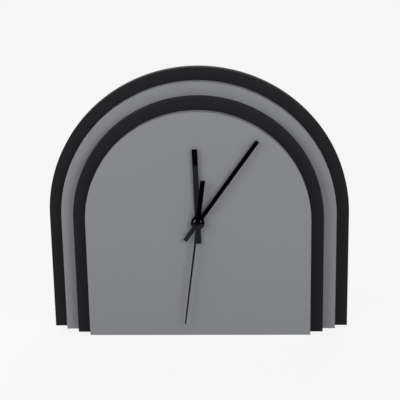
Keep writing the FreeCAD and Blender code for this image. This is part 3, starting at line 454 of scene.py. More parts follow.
# %% The pocket and the hole for the shaft
CASE_LOW, CASE_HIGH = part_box("movement_case")
POCKET_GAP = 0.75 * MM
POCKET_CORNER = 2 * MM
POCKET_HALF = (CASE_HIGH.x - CASE_LOW.x) / 2 + POCKET_GAP
SHAFT_HOLE = 4.15 * MM
# How far a cutter reaches past the face that it opens
THROUGH = 1 * MM


def runs_back(edge):
    """An edge that lies along Y."""
    ends = edge.verts[0].co - edge.verts[1].co
    return abs(ends.x) < NEAR and abs(ends.z) < NEAR


def cut_pocket(board, node):
    low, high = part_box(node)
    cutter = add_block(
        "pocket_cutter",
        (PIVOT.x - POCKET_HALF, low.y - THROUGH, PIVOT.z - POCKET_HALF),
        (PIVOT.x + POCKET_HALF, high.y + THROUGH, PIVOT.z + POCKET_HALF),
    )
    bevel_edges(cutter, POCKET_CORNER, 8, runs_back)
    combine(board, cutter, "DIFFERENCE")


# %% The four boards
BOARDS = {
    "front_dial_panel": ("grey_paint", GREY_PAINT),
    "inner_black_panel": ("black_paint", BLACK_PAINT),
    "middle_grey_panel": ("grey_paint", GREY_PAINT),
    "outer_black_panel": ("black_paint", BLACK_PAINT),
}
for node, (slot, material) in BOARDS.items():
    board = arch_board(node)
    low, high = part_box(node)
    if node == "front_dial_panel":
        shaft = add_disc("shaft_drill", SHAFT_HOLE, low.y - THROUGH, high.y + THROUGH)
        combine(board, shaft, "DIFFERENCE")
    else:
        cut_pocket(board, node)
    if node == "outer_black_panel":
        bevel_edges(
            board, BOARD_ROUND, 3,
            lambda edge: lies_at(edge, "y", high.y)
            and any(abs(face.normal.y) < 0.5 for face in edge.link_faces),
        )
    install(board, node, material)

# %% [markdown]
# ## The hands
# The hands are stamped from thin aluminium sheet and dipped in glossy black lacquer. The
# lacquer is nearly a mirror, so what shows is mostly the dark room in front of the clock,
# and below it a paler band. The hour and minute hands are plain bars with a tail and a
# round hub. The second hand has a fine tapering needle, a broad tail and a chamfered
# boss. Each is modelled pointing straight up at the pivot, then turned to its time.

# %% Black lacquer
# A painted reflection tint: the lacquer's reflections are tinted blue to stand in for the bluish
# light of the room, since clear lacquer itself reflects light untinted.
PAINTED_REFLECTION_TINT = (0.86, 0.92, 1.1, 1)


def hand_lacquer():
    # The lacquer's reflections carry the painted blue tint of the room's light.
    finish = new_finish(
        "black_hand_lacquer", Specular_IOR_Level=0.5, Specular_Tint=PAINTED_REFLECTION_TINT
    )
    cloud = noise(finish, 120, detail=2)
    dust = noise(finish, 5200, detail=1)
    deep, thin = paint(2, 2, 6), paint(5, 5, 11)
    drive(finish, "Base Color", mixed(finish, cloud, deep, thin))
    drive(finish, "Roughness", 0.006 + 0.01 * cloud + 0.006 * dust)
    drive(finish, "Normal", bumped(finish, cloud, 0.001 * MM))
    return finish


HAND_LACQUER = hand_lacquer()
count_nodes(HAND_LACQUER)

# %% A bar, a hub and a collar
HAND_EDGE = 0.07 * MM
HUB_RADIUS = 4.45 * MM
COLLAR_WALL = 0.7 * MM
BLADE = 0.4 * MM


def turn_to(piece, degrees):
    """Turns a hand clockwise, as seen from the front, about the pivot."""
    select_only(piece)
    bpy.context.scene.cursor.location = PIVOT
    bpy.ops.object.origin_set(type="ORIGIN_CURSOR")
    piece.rotation_euler = (0, math.radians(degrees), 0)
    bpy.ops.object.transform_apply(location=True, rotation=True, scale=True)


def bar_hand(name, node, width, tip, tail, bore, pointing, lean=0):
    """A bar with a hub and a collar; lean is how far its tip comes forward, in degrees."""
    low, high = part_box(node)
    hand = add_block(
        name,
        (PIVOT.x - width / 2, low.y, PIVOT.z - tail),
        (PIVOT.x + width / 2, low.y + BLADE, PIVOT.z + tip),
    )
    combine(hand, add_disc("hub", HUB_RADIUS, low.y, low.y + BLADE), "UNION")
    combine(hand, add_disc("collar", bore + COLLAR_WALL, low.y, high.y, sides=64), "UNION")
    hole = add_disc("bore", bore, low.y - THROUGH, high.y + THROUGH, sides=64)
    combine(hand, hole, "DIFFERENCE")
    soften(hand, HAND_EDGE)
    if lean:
        open_mesh(hand)
        pick("VERT", lambda vert: vert.co.z > PIVOT.z + tip / 2)
        bpy.ops.transform.rotate(
            value=-math.radians(lean), orient_axis="X", orient_type="GLOBAL",
            center_override=(PIVOT.x, low.y, PIVOT.z + HUB_RADIUS),
        )
        close_mesh()
    turn_to(hand, pointing)
    front = min(vert.co.y for vert in hand.data.vertices)
    print(f"{name} comes forward to y {front / MM:.2f} mm")
    return hand


# %% The hour and minute hands
HOUR_WIDTH, HOUR_TIP, HOUR_TAIL, HOUR_BORE = 3.6 * MM, 50 * MM, 14.6 * MM, 2.57 * MM
MINUTE_WIDTH, MINUTE_TIP, MINUTE_TAIL, MINUTE_BORE = 2.8 * MM, 67.8 * MM, 14.7 * MM, 1.67 * MM
HOUR_POINTING, MINUTE_POINTING = -1.4, 35.4
HOUR_LEAN = 1.35

hour = bar_hand(
    "hour_hand_bar", "hour_hand", HOUR_WIDTH, HOUR_TIP, HOUR_TAIL, HOUR_BORE,
    HOUR_POINTING, HOUR_LEAN,
)
install(hour, "hour_hand", HAND_LACQUER)
minute = bar_hand(
    "minute_hand_bar", "minute_hand", MINUTE_WIDTH, MINUTE_TIP, MINUTE_TAIL, MINUTE_BORE,
    MINUTE_POINTING,
)
install(minute, "minute_hand", HAND_LACQUER)

# %% The second hand
SECOND_SHEET = 0.3 * MM
SECOND_TAIL, SECOND_WIDTH = 29.8 * MM, 3.1 * MM
NEEDLE, NEEDLE_WIDTH, NEEDLE_TIP = 70.8 * MM, 1.5 * MM, 1.0 * MM
BOSS_RADIUS, BOSS_CHAMFER = 3.1 * MM, 0.85 * MM
ARBOR_SEAT = 0.52 * MM
SECOND_POINTING = 187.6


def second_hand():
    low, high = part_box("second_hand")
    back = low.y + SECOND_SHEET
    hand = add_block(
        "second_hand_needle",
        (PIVOT.x - NEEDLE_WIDTH / 2, low.y, PIVOT.z),
        (PIVOT.x + NEEDLE_WIDTH / 2, back, PIVOT.z + NEEDLE),
    )
    open_mesh(hand)
    pick("VERT", lambda vert: vert.co.z > PIVOT.z + NEEDLE / 2)
    bpy.ops.transform.resize(
        value=(NEEDLE_TIP / NEEDLE_WIDTH, 1, 1), center_override=(PIVOT.x, low.y, PIVOT.z)
    )
    close_mesh()
    tail = add_block(
        "tail",
        (PIVOT.x - SECOND_WIDTH / 2, low.y, PIVOT.z - SECOND_TAIL),
        (PIVOT.x + SECOND_WIDTH / 2, back, PIVOT.z),
    )
    combine(hand, tail, "UNION")
    boss = add_disc("boss", BOSS_RADIUS, back, high.y)
    bevel_edges(boss, BOSS_CHAMFER, 1, lambda edge: lies_at(edge, "y", back))
    combine(hand, boss, "UNION")
    seat = add_disc("seat", ARBOR_SEAT, back, high.y + THROUGH, sides=32)
    combine(hand, seat, "DIFFERENCE")
    soften(hand, HAND_EDGE, sharper_than=60)
    turn_to(hand, SECOND_POINTING)
    return hand


install(second_hand(), "second_hand", HAND_LACQUER)

# %% [markdown]
# ## Moulded plastic and bare metals
# The movement is a small black moulding. A mould is spark-eroded, so the plastic comes out
# with an even, very fine grain and a low sheen. The metals inside are plated strip, drawn
# steel, turned brass and enamelled copper wire. Each gets a fine grain that runs one way,
# along the sheet or the rod, or turn by turn along the coil.

# %% Plastics


def moulded(name, colour, roughness, grain=0.006 * MM):
    """Injection-moulded plastic with the fine grain of its mould."""
    finish = new_finish(name, Specular_IOR_Level=0.45)
    flow = noise(finish, 60, detail=3)
    spark = noise(finish, 4200, detail=2, roughness=0.6)
    darker, lighter = toned(colour, 0.86), toned(colour, 1.12)
    drive(finish, "Base Color", mixed(finish, 0.7 * flow + 0.3 * spark, darker, lighter))
    drive(finish, "Roughness", roughness + 0.07 * flow + 0.06 * spark)
    drive(finish, "Normal", bumped(finish, spark, grain))
    return finish


CASE_PLASTIC = moulded("black_case_plastic", paint(46, 46, 48), 0.36)
KNOB_PLASTIC = moulded("black_knob_plastic", paint(36, 36, 38), 0.28)
WHEEL_PLASTIC = moulded("natural_wheel_plastic", paint(222, 219, 206), 0.38, 0.003 * MM)
count_nodes(CASE_PLASTIC, KNOB_PLASTIC, WHEEL_PLASTIC)

# %% Metals


def drawn_metal(name, colour, roughness, grain=(300, 9000, 9000)):
    """Bare metal with a fine grain; its grain is long where the scale is small."""
    finish = new_finish(name, Metallic=1.0)
    lines = noise(finish, 1.0, detail=3, roughness=0.6, where=stretched(finish, *grain))
    cloud = noise(finish, 90, detail=2)
    tone = 0.5 * lines + 0.5 * cloud
    drive(finish, "Base Color", mixed(finish, tone, toned(colour, 0.88), colour))
    drive(finish, "Roughness", roughness + 0.12 * lines + 0.05 * cloud)
    drive(finish, "Normal", bumped(finish, lines, 0.002 * MM))
    return finish


NICKEL = drawn_metal("nickel_plated_strip", paint(205, 203, 196), 0.2, (6000, 300, 6000))
STEEL = drawn_metal("drawn_steel", paint(186, 186, 188), 0.24, (6000, 300, 6000))
IRON = drawn_metal("soft_iron_sheet", paint(150, 148, 145), 0.36, (300, 6000, 6000))
BRASS = drawn_metal("turned_brass", paint(214, 178, 104), 0.22, (9000, 300, 9000))
TINPLATE = drawn_metal("battery_tinplate", paint(210, 208, 203), 0.16, (500, 3000, 3000))
count_nodes(NICKEL, STEEL, IRON, BRASS, TINPLATE)


# %% The coil's wire


def winding_wire():
    """Enamelled copper wire, one thin turn beside the next along X."""
    finish = new_finish("copper_winding", Metallic=0.85, Coat_Roughness=0.1)
    turns = Signal.node(
        finish.node_tree, "ShaderNodeTexWave", {"wave_type": "BANDS", "bands_direction": "X"},
        {"Vector": place_on(finish), "Scale": 2100.0, "Distortion": 0.4, "Detail": 1.0},
    )
    layers = noise(finish, 900, detail=2)
    tone = 0.6 * turns + 0.4 * layers
    drive(finish, "Base Color", mixed(finish, tone, paint(120, 58, 30), paint(196, 112, 62)))
    drive(finish, "Roughness", 0.3 + 0.15 * layers)
    drive(finish, "Coat Weight", 0.3 + 0.4 * turns)
    drive(finish, "Normal", bumped(finish, turns, 0.02 * MM))
    return finish


COPPER = winding_wire()
count_nodes(COPPER)

# %% Magnet, circuit board, resin and foam


def ferrite():
    finish = new_finish("rotor_ferrite", Metallic=0.2)
    grains = noise(finish, 3800, detail=3, roughness=0.7)
    drive(finish, "Base Color", mixed(finish, grains, paint(44, 43, 43), paint(74, 72, 70)))
    drive(finish, "Roughness", 0.45 + 0.2 * grains)
    drive(finish, "Normal", bumped(finish, grains, 0.006 * MM))
    return finish


def board_laminate():
    """Green laminate with tinned tracks under the lacquer."""
    finish = new_finish("circuit_laminate", Specular_IOR_Level=0.5)
    fibres = noise(finish, 1.0, detail=3, where=stretched(finish, 700, 3000, 5200))
    tracks = Signal.node(
        finish.node_tree, "ShaderNodeTexWave",
        {"wave_type": "BANDS", "bands_direction": "DIAGONAL"},
        {"Vector": place_on(finish), "Scale": 130.0, "Distortion": 3.0, "Detail": 0.0},
    )
    line = tracks > 0.82
    ground = mixed(finish, fibres, paint(22, 70, 42), paint(36, 96, 58))
    drive(finish, "Base Color", mixed(finish, line, ground, paint(176, 172, 160)))
    drive(finish, "Metallic", 0.8 * line)
    drive(finish, "Roughness", 0.42 - 0.14 * line)
    drive(finish, "Normal", bumped(finish, line + 0.15 * fibres, 0.03 * MM))
    return finish


def chip_resin():
    finish = new_finish("black_chip_resin", Specular_IOR_Level=0.5)
    swirl = noise(finish, 420, detail=3)
    drive(finish, "Base Color", mixed(finish, swirl, paint(12, 12, 13), paint(24, 24, 26)))
    drive(finish, "Roughness", 0.14 + 0.12 * swirl)
    drive(finish, "Normal", bumped(finish, swirl, 0.03 * MM))
    return finish


def pad_foam():
    """White foam with small closed cells."""
    finish = new_finish("white_pad_foam", Specular_IOR_Level=0.2)
    cells = Signal.node(
        finish.node_tree, "ShaderNodeTexVoronoi", {"feature": "F1"},
        {"Vector": place_on(finish), "Scale": 2600.0}, "Distance",
    )
    drive(finish, "Base Color", mixed(finish, cells, paint(168, 168, 166), paint(226, 226, 222)))
    drive(finish, "Roughness", 0.85 + 0.1 * cells)
    drive(finish, "Normal", bumped(finish, cells, 0.08 * MM))
    return finish


FERRITE, LAMINATE, RESIN, FOAM = ferrite(), board_laminate(), chip_resin(), pad_foam()
count_nodes(FERRITE, LAMINATE, RESIN, FOAM)

# %% [markdown]
# ## The movement's case
# The case is one moulding: a shallow square box with a room for the wheels above and an
# open bay for the battery below, and a round bushing in front that the hand shafts come
# through. It is made as a mould maker thinks of it, as an outer block with the two
# hollows taken out. The bay's front corners slope, so the battery lies in a cradle, and
# a plus and a minus are sunk in its floor.

# %% Places inside the movement
CELL_LOW, CELL_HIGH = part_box("battery")
COVER_LOW, COVER_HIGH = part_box("movement_cover")
PLATE_LOW, PLATE_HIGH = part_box("bearing_plate")
WALL = 1.2 * MM
FRONT_WALL = 0.8 * MM
CASE_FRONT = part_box("mounting_pad")[1].y
INSIDE_FRONT = CASE_FRONT + FRONT_WALL
INNER_HALF = CASE_HIGH.x - WALL
CELL_GAP = 0.25 * MM
CELL_RADIUS = (CELL_HIGH.z - CELL_LOW.z) / 2
CELL_Y = (CELL_LOW.y + CELL_HIGH.y) / 2
CELL_Z = (CELL_LOW.z + CELL_HIGH.z) / 2
BAY_BOTTOM = CELL_LOW.z - CELL_GAP
BAY_TOP = CELL_HIGH.z + CELL_GAP
ROOM_BOTTOM = BAY_TOP + WALL
ROOM_TOP = CASE_HIGH.z - WALL
POST_INSET, POST_RADIUS = 3.8 * MM, 1.5 * MM
POST_X = INNER_HALF - POST_INSET
POST_LEVELS = (ROOM_BOTTOM + POST_INSET, PLATE_HIGH.z - POST_INSET)
PIVOT_HOLE, KNOB_HOLE, HOUR_HOLE = 0.43 * MM, 0.98 * MM, 2.63 * MM
# How deep a boss is rooted in its wall, and the depth of a blind hole
SINK = 0.5 * MM


def axis_of(joint_name):
    """X and Z of a joint's axis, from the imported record."""
    place = next(j["pos_m"] for j in frame["joints"] if j["name"] == joint_name)
    return place[0], place[2]


KNOB_AXIS = axis_of("setting_knob_turn")
THIRD_AXIS = axis_of("third_wheel_turn")
STEP_AXIS = axis_of("step_wheel_turn")
ROTOR_AXIS = axis_of("rotor_turn")
CENTRE_AXIS = (PIVOT.x, PIVOT.z)
print(f"The battery's bay is {(BAY_TOP - BAY_BOTTOM) / MM:.1f} mm high")

# %% Helpers for holes and posts


def drill(piece, radius, axis, front, back, sides=32):
    combine(piece, add_disc("drill", radius, front, back, *axis, sides=sides), "DIFFERENCE")


def weld_posts(piece, front, back):
    for x in (-POST_X, POST_X):
        for z in POST_LEVELS:
            combine(piece, add_disc("post", POST_RADIUS, front, back, x, z, 32), "UNION")


# %% The case and its hollows
CASE_CORNER, ROOM_CORNER, BAY_SLOPE = 3 * MM, 1.2 * MM, 3 * MM
BUSHING_RADIUS, BUSHING_BEVEL = 4 * MM, 0.25 * MM
SLOT_DEPTH, SLOT_REACH = 0.6 * MM, 4.6 * MM


def case_shell():
    """The outer block with the wheels' room and the battery's bay taken out."""
    case = add_block(
        "clock_movement_case",
        (CASE_LOW.x, CASE_FRONT, CASE_LOW.z), CASE_HIGH,
    )
    bevel_edges(case, CASE_CORNER, 8, runs_back)
    open_end = CASE_HIGH.y + THROUGH
    room = add_block(
        "room", (-INNER_HALF, INSIDE_FRONT, ROOM_BOTTOM), (INNER_HALF, open_end, ROOM_TOP)
    )
    bevel_edges(
        room, ROOM_CORNER, 5, lambda edge: runs_back(edge) and middle(edge).z > PIVOT.z
    )
    bay = add_block(
        "bay", (-INNER_HALF, INSIDE_FRONT, BAY_BOTTOM), (INNER_HALF, open_end, BAY_TOP)
    )
    bevel_edges(
        bay, BAY_SLOPE, 1,
        lambda edge: abs(middle(edge).x) < NEAR and lies_at(edge, "y", INSIDE_FRONT),
    )
    combine(case, room, "DIFFERENCE")
    combine(case, bay, "DIFFERENCE")
    return case


def add_bushing(case):
    bushing = add_disc("bushing", BUSHING_RADIUS, CASE_LOW.y, INSIDE_FRONT)
    bevel_edges(bushing, BUSHING_BEVEL, 2, lambda edge: lies_at(edge, "y", CASE_LOW.y))
    combine(case, bushing, "UNION")


def drill_case(case):
    drill(case, HOUR_HOLE, CENTRE_AXIS, CASE_LOW.y - THROUGH, INSIDE_FRONT + THROUGH, 64)
    drill(case, PIVOT_HOLE, THIRD_AXIS, INSIDE_FRONT - SINK, INSIDE_FRONT + THROUGH)
    drill(case, KNOB_HOLE, KNOB_AXIS, INSIDE_FRONT - SINK, INSIDE_FRONT + THROUGH)


def cut_slots(case):
    """Slots in the partition, for the tabs of the two contacts."""
    slot_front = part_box("positive_contact")[1].y - SLOT_REACH
    for side in (-1, 1):
        near, far = sorted((side * (INNER_HALF - SLOT_DEPTH), side * INNER_HALF))
        slot = add_block(
            "slot", (near, slot_front, BAY_TOP - NEAR),
            (far, CASE_HIGH.y + THROUGH, ROOM_BOTTOM + NEAR),
        )
        combine(case, slot, "DIFFERENCE")


# %% The bay's signs, and the finished case
SIGN_SIZE, SIGN_STROKE, SIGN_DEPTH = 4.5 * MM, 1.1 * MM, 0.35 * MM
SIGN_X = 17 * MM
CASE_SOFTNESS = 0.18 * MM


def sink_signs(case):
    """A plus at the button's end of the bay and a minus at the other."""
    long, short = SIGN_SIZE / 2, SIGN_STROKE / 2
    strokes = [(SIGN_X, long, short), (SIGN_X, short, long), (-SIGN_X, long, short)]
    for x, half_x, half_z in strokes:
        stroke = add_block(
            "stroke",
            (x - half_x, INSIDE_FRONT - SIGN_DEPTH, CELL_Z - half_z),
            (x + half_x, INSIDE_FRONT + THROUGH, CELL_Z + half_z),
        )
        combine(case, stroke, "DIFFERENCE")


case = case_shell()
add_bushing(case)
weld_posts(case, INSIDE_FRONT - SINK, PLATE_LOW.y)
drill_case(case)
cut_slots(case)
sink_signs(case)
soften(case, CASE_SOFTNESS)
install(case, "movement_case", CASE_PLASTIC)

# %% [markdown]
# ## The rear cover
# The cover closes the wheels' room. From behind it is the most detailed face of the
# clock: a raised rim, small bosses over the pivots, a collar round the knob, a curved
# arrow that shows which way to turn it, two snap tabs, and a sunk panel where a maker
# would print a label, which stays bare here.

# %% The cover's sizes
RELIEF = 0.4 * MM
RIM_WIDTH = 1.0 * MM
COVER_THICKNESS = 1 * MM
COVER_CORNER, RIM_CORNER = 0.8 * MM, 0.6 * MM
COVER_SOFTNESS = 0.12 * MM
CENTRE_BOSS, SMALL_BOSS = 2 * MM, 1.5 * MM
COLLAR_OUTER, COLLAR_INNER = 7.2 * MM, 6.3 * MM
ARBOR_HOLE = 0.58 * MM
PANEL_INSET, PANEL_WIDTH, PANEL_HEIGHT = 3.4 * MM, 18 * MM, 11 * MM
TAB_LENGTH, TAB_WIDTH, CLEFT = 4.1 * MM, 4.5 * MM, 0.3 * MM
TAB_LEVEL = (COVER_LOW.z + COVER_HIGH.z) / 2
ARROW_RADIUS, ARROW_WIDTH, ARROW_HEAD = 8.3 * MM, 0.6 * MM, 1.1 * MM
ARROW_START, ARROW_END = math.radians(10), math.radians(95)

# %% A ring, and the curved arrow made from it


def ring(name, outer, inner, front, back, axis):
    """A disc with a smaller disc taken out."""
    made = add_disc(name, outer, front, back, *axis)
    drill(made, inner, axis, front - THROUGH, back + THROUGH, sides=96)
    return made


def curved_arrow(back):
    """A raised arc with a head, round the knob."""
    outer = ARROW_RADIUS + ARROW_WIDTH
    arc = ring("arrow", outer, ARROW_RADIUS, back - SINK, back + RELIEF, KNOB_AXIS)
    centre = (KNOB_AXIS[0], back, KNOB_AXIS[1])
    for angle, keep in ((ARROW_START, 1), (ARROW_END, -1)):
        open_mesh(arc)
        bpy.ops.mesh.select_all(action="SELECT")
        across = (-keep * math.sin(angle), 0, keep * math.cos(angle))
        bpy.ops.mesh.bisect(plane_co=centre, plane_no=across, clear_inner=True, use_fill=True)
        close_mesh()
    way = ARROW_RADIUS + ARROW_WIDTH / 2
    place = (centre[0] + way * math.cos(ARROW_END), back, centre[2] + way * math.sin(ARROW_END))
    bpy.ops.mesh.primitive_cylinder_add(
        vertices=3, radius=ARROW_HEAD, depth=2 * RELIEF, location=place,
        rotation=(math.pi / 2, -ARROW_END, 0),
    )
    combine(arc, settle("arrow_head"), "UNION")
    return arc


# %% The cover's sheet and rim


def movement_cover():
    sheet_front = COVER_HIGH.y - COVER_THICKNESS
    back = COVER_HIGH.y
    cover = add_block(
        "clock_movement_cover",
        (COVER_LOW.x, sheet_front, COVER_LOW.z), COVER_HIGH,
    )
    bevel_edges(cover, COVER_CORNER, 4, runs_back)
    weld_posts(cover, COVER_LOW.y, sheet_front + SINK)
    rim = add_block(
        "rim",
        (COVER_LOW.x, back - SINK, COVER_LOW.z), (COVER_HIGH.x, back + RELIEF, COVER_HIGH.z),
    )
    bevel_edges(rim, COVER_CORNER, 4, runs_back)
    inside = add_block(
        "inside",
        (COVER_LOW.x + RIM_WIDTH, back - THROUGH, COVER_LOW.z + RIM_WIDTH),
        (COVER_HIGH.x - RIM_WIDTH, back + THROUGH, COVER_HIGH.z - RIM_WIDTH),
    )
    bevel_edges(inside, RIM_CORNER, 4, runs_back)
    combine(rim, inside, "DIFFERENCE")
    combine(cover, rim, "UNION")
    return cover


# %% Bosses, collar, panel and tabs


def add_bosses(cover):
    """A boss over each pivot, and a collar round the knob."""
    back = COVER_HIGH.y
    for axis in (CENTRE_AXIS, THIRD_AXIS, STEP_AXIS, ROTOR_AXIS):
        radius = CENTRE_BOSS if axis == CENTRE_AXIS else SMALL_BOSS
        boss = add_disc("boss", radius, back - SINK, back + RELIEF, *axis, sides=48)
        combine(cover, boss, "UNION")
    collar = ring(
        "collar", COLLAR_OUTER, COLLAR_INNER, back - SINK, back + 2 * RELIEF, KNOB_AXIS
    )
    combine(cover, collar, "UNION")


def sink_panel(cover):
    back = COVER_HIGH.y
    panel = add_block(
        "panel",
        (COVER_LOW.x + PANEL_INSET, back - RELIEF, COVER_HIGH.z - PANEL_INSET - PANEL_HEIGHT),
        (COVER_LOW.x + PANEL_INSET + PANEL_WIDTH, back + THROUGH, COVER_HIGH.z - PANEL_INSET),
    )
    bevel_edges(panel, COVER_CORNER, 4, runs_back)
    combine(cover, panel, "DIFFERENCE")


def add_tabs(cover):
    """Two snap tabs, each with a thin cleft at its inner end."""
    back = COVER_HIGH.y
    for side in (-1, 1):
        near, far = sorted((side * (COVER_HIGH.x - TAB_LENGTH), side * COVER_HIGH.x))
        tab = add_block(
            "tab", (near, back - SINK, TAB_LEVEL - TAB_WIDTH / 2),
            (far, back + 2 * RELIEF, TAB_LEVEL + TAB_WIDTH / 2),
        )
        combine(cover, tab, "UNION")
        inner = side * (COVER_HIGH.x - TAB_LENGTH - CLEFT)
        cleft = add_block(
            "cleft", (inner - CLEFT, back - SINK, TAB_LEVEL - TAB_WIDTH / 2 - CLEFT),
            (inner + CLEFT, back + THROUGH, TAB_LEVEL + TAB_WIDTH / 2 + CLEFT),
        )
        combine(cover, cleft, "DIFFERENCE")


# %% The holes, and the finished cover


def drill_cover(cover):
    front = COVER_HIGH.y - COVER_THICKNESS - THROUGH
    for axis in (THIRD_AXIS, STEP_AXIS, ROTOR_AXIS):
        drill(cover, PIVOT_HOLE, axis, front, COVER_HIGH.y - SINK)
    drill(cover, ARBOR_HOLE, CENTRE_AXIS, front, COVER_HIGH.y - SINK)
    drill(cover, KNOB_HOLE, KNOB_AXIS, front, COVER_HIGH.y + THROUGH)


cover = movement_cover()
add_bosses(cover)
sink_panel(cover)
add_tabs(cover)
combine(cover, curved_arrow(COVER_HIGH.y), "UNION")
drill_cover(cover)
soften(cover, COVER_SOFTNESS)
install(cover, "movement_cover", CASE_PLASTIC)

# %% [markdown]
# ## The setting knob
# The knob is a small disc with grooves for a fingertip. One groove is cut by a thin
# cylinder on the rim, and the same cut is repeated all round. Its end is dished, so the
# rim stands a little proud.

# %% The knob
KNOB_LOW, KNOB_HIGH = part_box("setting_knob")
KNOB_RADIUS = (KNOB_HIGH.z - KNOB_LOW.z) / 2
KNOB_FLUTES, FLUTE_RADIUS = 24, 0.45 * MM
DISH_RADIUS, DISH_DEPTH = 4.1 * MM, 0.35 * MM
KNOB_BORE, KNOB_WEB, KNOB_SOFTNESS = 0.92 * MM, 0.6 * MM, 0.1 * MM


def setting_knob():
    x, z = KNOB_AXIS
    knob = add_disc("setting_knob_grip", KNOB_RADIUS, KNOB_LOW.y, KNOB_HIGH.y, x, z, 144)
    open_mesh(knob)
    pick("FACE", lambda face: face.normal.y > 0.5)
    bpy.ops.mesh.inset(thickness=KNOB_RADIUS - DISH_RADIUS)
    bpy.ops.mesh.inset(thickness=DISH_DEPTH)
    bpy.ops.transform.translate(value=(0, -DISH_DEPTH, 0))
    close_mesh()
    for number in range(KNOB_FLUTES):
        turn = 2 * math.pi * number / KNOB_FLUTES
        groove_x = x + KNOB_RADIUS * math.cos(turn)
        groove_z = z + KNOB_RADIUS * math.sin(turn)
        drill(
            knob, FLUTE_RADIUS, (groove_x, groove_z),
            KNOB_LOW.y - THROUGH, KNOB_HIGH.y + THROUGH, sides=16,
        )
    drill(knob, KNOB_BORE, KNOB_AXIS, KNOB_LOW.y - THROUGH, KNOB_HIGH.y - KNOB_WEB)
    soften(knob, KNOB_SOFTNESS, sharper_than=35)
    return knob


install(setting_knob(), "setting_knob", KNOB_PLASTIC)

# %% [markdown]
# ## The battery
# A cell is a tinplate can in a printed sleeve that is shrunk over its ends. The sleeve
# here is plain, with a band and a line at the plus end. A cylinder is inset and pulled at
# each end: inwards where the sleeve turns over the can, and outwards for the button.

# %% The sleeve's film
BAND_START = 13 * MM
LINE_START, LINE_END = 11.6 * MM, 12.2 * MM


def printed_sleeve():
    """A shrunk film: graphite, with a pale band at the plus end."""
    finish = new_finish("battery_film", Coat_Roughness=0.12, Coat_IOR=1.5)
    spot = along("X", place_on(finish))
    ripple = noise(finish, 1.0, detail=2, where=stretched(finish, 60, 500, 500))
    band = spot > BAND_START
    line = (spot > LINE_START) - (spot > LINE_END)
    film = mixed(finish, ripple, paint(44, 47, 52), paint(54, 57, 62))
    banded = mixed(finish, band + line, film, paint(188, 190, 192))
    drive(finish, "Base Color", banded)
    drive(finish, "Metallic", 0.15 + 0.45 * band)
    drive(finish, "Roughness", 0.28 + 0.1 * ripple)
    drive(finish, "Coat Weight", 0.5 + 0.2 * ripple)
    drive(finish, "Normal", bumped(finish, ripple, 0.01 * MM))
    return finish


# %% The cell
SLEEVE_LIP, PLATE_RADIUS = 0.2 * MM, 5.9 * MM
BUTTON_RADIUS, BUTTON_HEIGHT = 2.75 * MM, 1 * MM
END_ROUND, SHOULDER, FOLD = 0.5 * MM, 0.25 * MM, 0.25 * MM
CELL_SOFTNESS = 0.12 * MM
TIN_REACH, TIN_MARGIN = 1.6 * MM, 0.05 * MM


def battery_cell():
    """A cylinder along X whose two ends are worked inwards and outwards."""
    length = CELL_HIGH.x - CELL_LOW.x - BUTTON_HEIGHT
    bpy.ops.mesh.primitive_cylinder_add(
        vertices=96, radius=CELL_RADIUS, depth=length - 2 * SLEEVE_LIP,
        location=(CELL_LOW.x + length / 2, CELL_Y, CELL_Z), rotation=(0, math.pi / 2, 0),
    )
    cell = settle("battery_cell")
    bevel_edges(
        cell, END_ROUND, 4, lambda edge: abs(edge.verts[0].co.x - edge.verts[1].co.x) < NEAR
    )
    for side in (-1, 1):
        open_mesh(cell)
        pick("FACE", lambda face: face.normal.x * side > 0.99)
        bpy.ops.mesh.inset(thickness=CELL_RADIUS - END_ROUND - PLATE_RADIUS)
        extrude(-side * SHOULDER, 0, 0)
        bpy.ops.mesh.inset(thickness=FOLD)
        extrude(side * (SHOULDER + SLEEVE_LIP), 0, 0)
        if side > 0:
            bpy.ops.mesh.inset(thickness=PLATE_RADIUS - FOLD - BUTTON_RADIUS)
            extrude(BUTTON_HEIGHT, 0, 0)
        close_mesh()
    soften(cell, CELL_SOFTNESS, sharper_than=60)
    return cell


def tin_ends(cell):
    """The faces inside the sleeve's two openings are bare metal."""
    cell.data.materials.append(TINPLATE)
    axis = Vector((0, CELL_Y, CELL_Z))
    for face in cell.data.polygons:
        spread = Vector((0, face.center.y, face.center.z)) - axis
        at_end = min(face.center.x - CELL_LOW.x, CELL_HIGH.x - face.center.x) < TIN_REACH
        if at_end and spread.length < PLATE_RADIUS - TIN_MARGIN:
            face.material_index = 1


cell = battery_cell()
install(cell, "battery", printed_sleeve())
tin_ends(cell)

# %% [markdown]
# ## The battery's contacts
# Each contact is a strip of plated spring metal against the end wall of the bay, pressed
# into a round dimple that touches the cell, with a tab that reaches up past the
# partition to the circuit board.

# %% The contacts
STRIP, STRIP_SOFTNESS = 0.3 * MM, 0.04 * MM
TAB_REACH = 4 * MM
DIMPLE_RADIUS, DIMPLE_ROUND = 2.2 * MM, 0.7 * MM


def battery_contact(node, side):
    low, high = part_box(node)
    wall = high.x if side > 0 else low.x
    tip = low.x if side > 0 else high.x
    face = wall - side * STRIP
    near, far = sorted((face, wall))
    width = 2 * (CELL_Y - low.y)
    strip = add_block(
        node.replace("contact", "contact_strip"),
        (near, low.y, CELL_Z - width / 2), (far, low.y + width, CELL_Z + width / 2),
    )
    tab = add_block("tab", (near, high.y - TAB_REACH, CELL_Z), (far, high.y, high.z))
    combine(strip, tab, "UNION")
    reach = abs(tip - face)
    bpy.ops.mesh.primitive_cylinder_add(
        vertices=48, radius=DIMPLE_RADIUS, depth=reach + STRIP / 2, rotation=(0, math.pi / 2, 0),
        location=(tip + side * (reach + STRIP / 2) / 2, CELL_Y, CELL_Z),
    )
    dimple = settle("dimple")
    bevel_edges(dimple, DIMPLE_ROUND, 4, lambda edge: lies_at(edge, "x", tip))
    combine(strip, dimple, "UNION")
    soften(strip, STRIP_SOFTNESS, sharper_than=60)
    install(strip, node, NICKEL)


battery_contact("positive_contact", 1)
battery_contact("negative_contact", -1)

# %% [markdown]
# ## Everything inside the movement
# Wheels, arbors, motor and circuit are closed in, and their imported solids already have
# their teeth, bores and steps. They keep their own meshes and only get a finish.

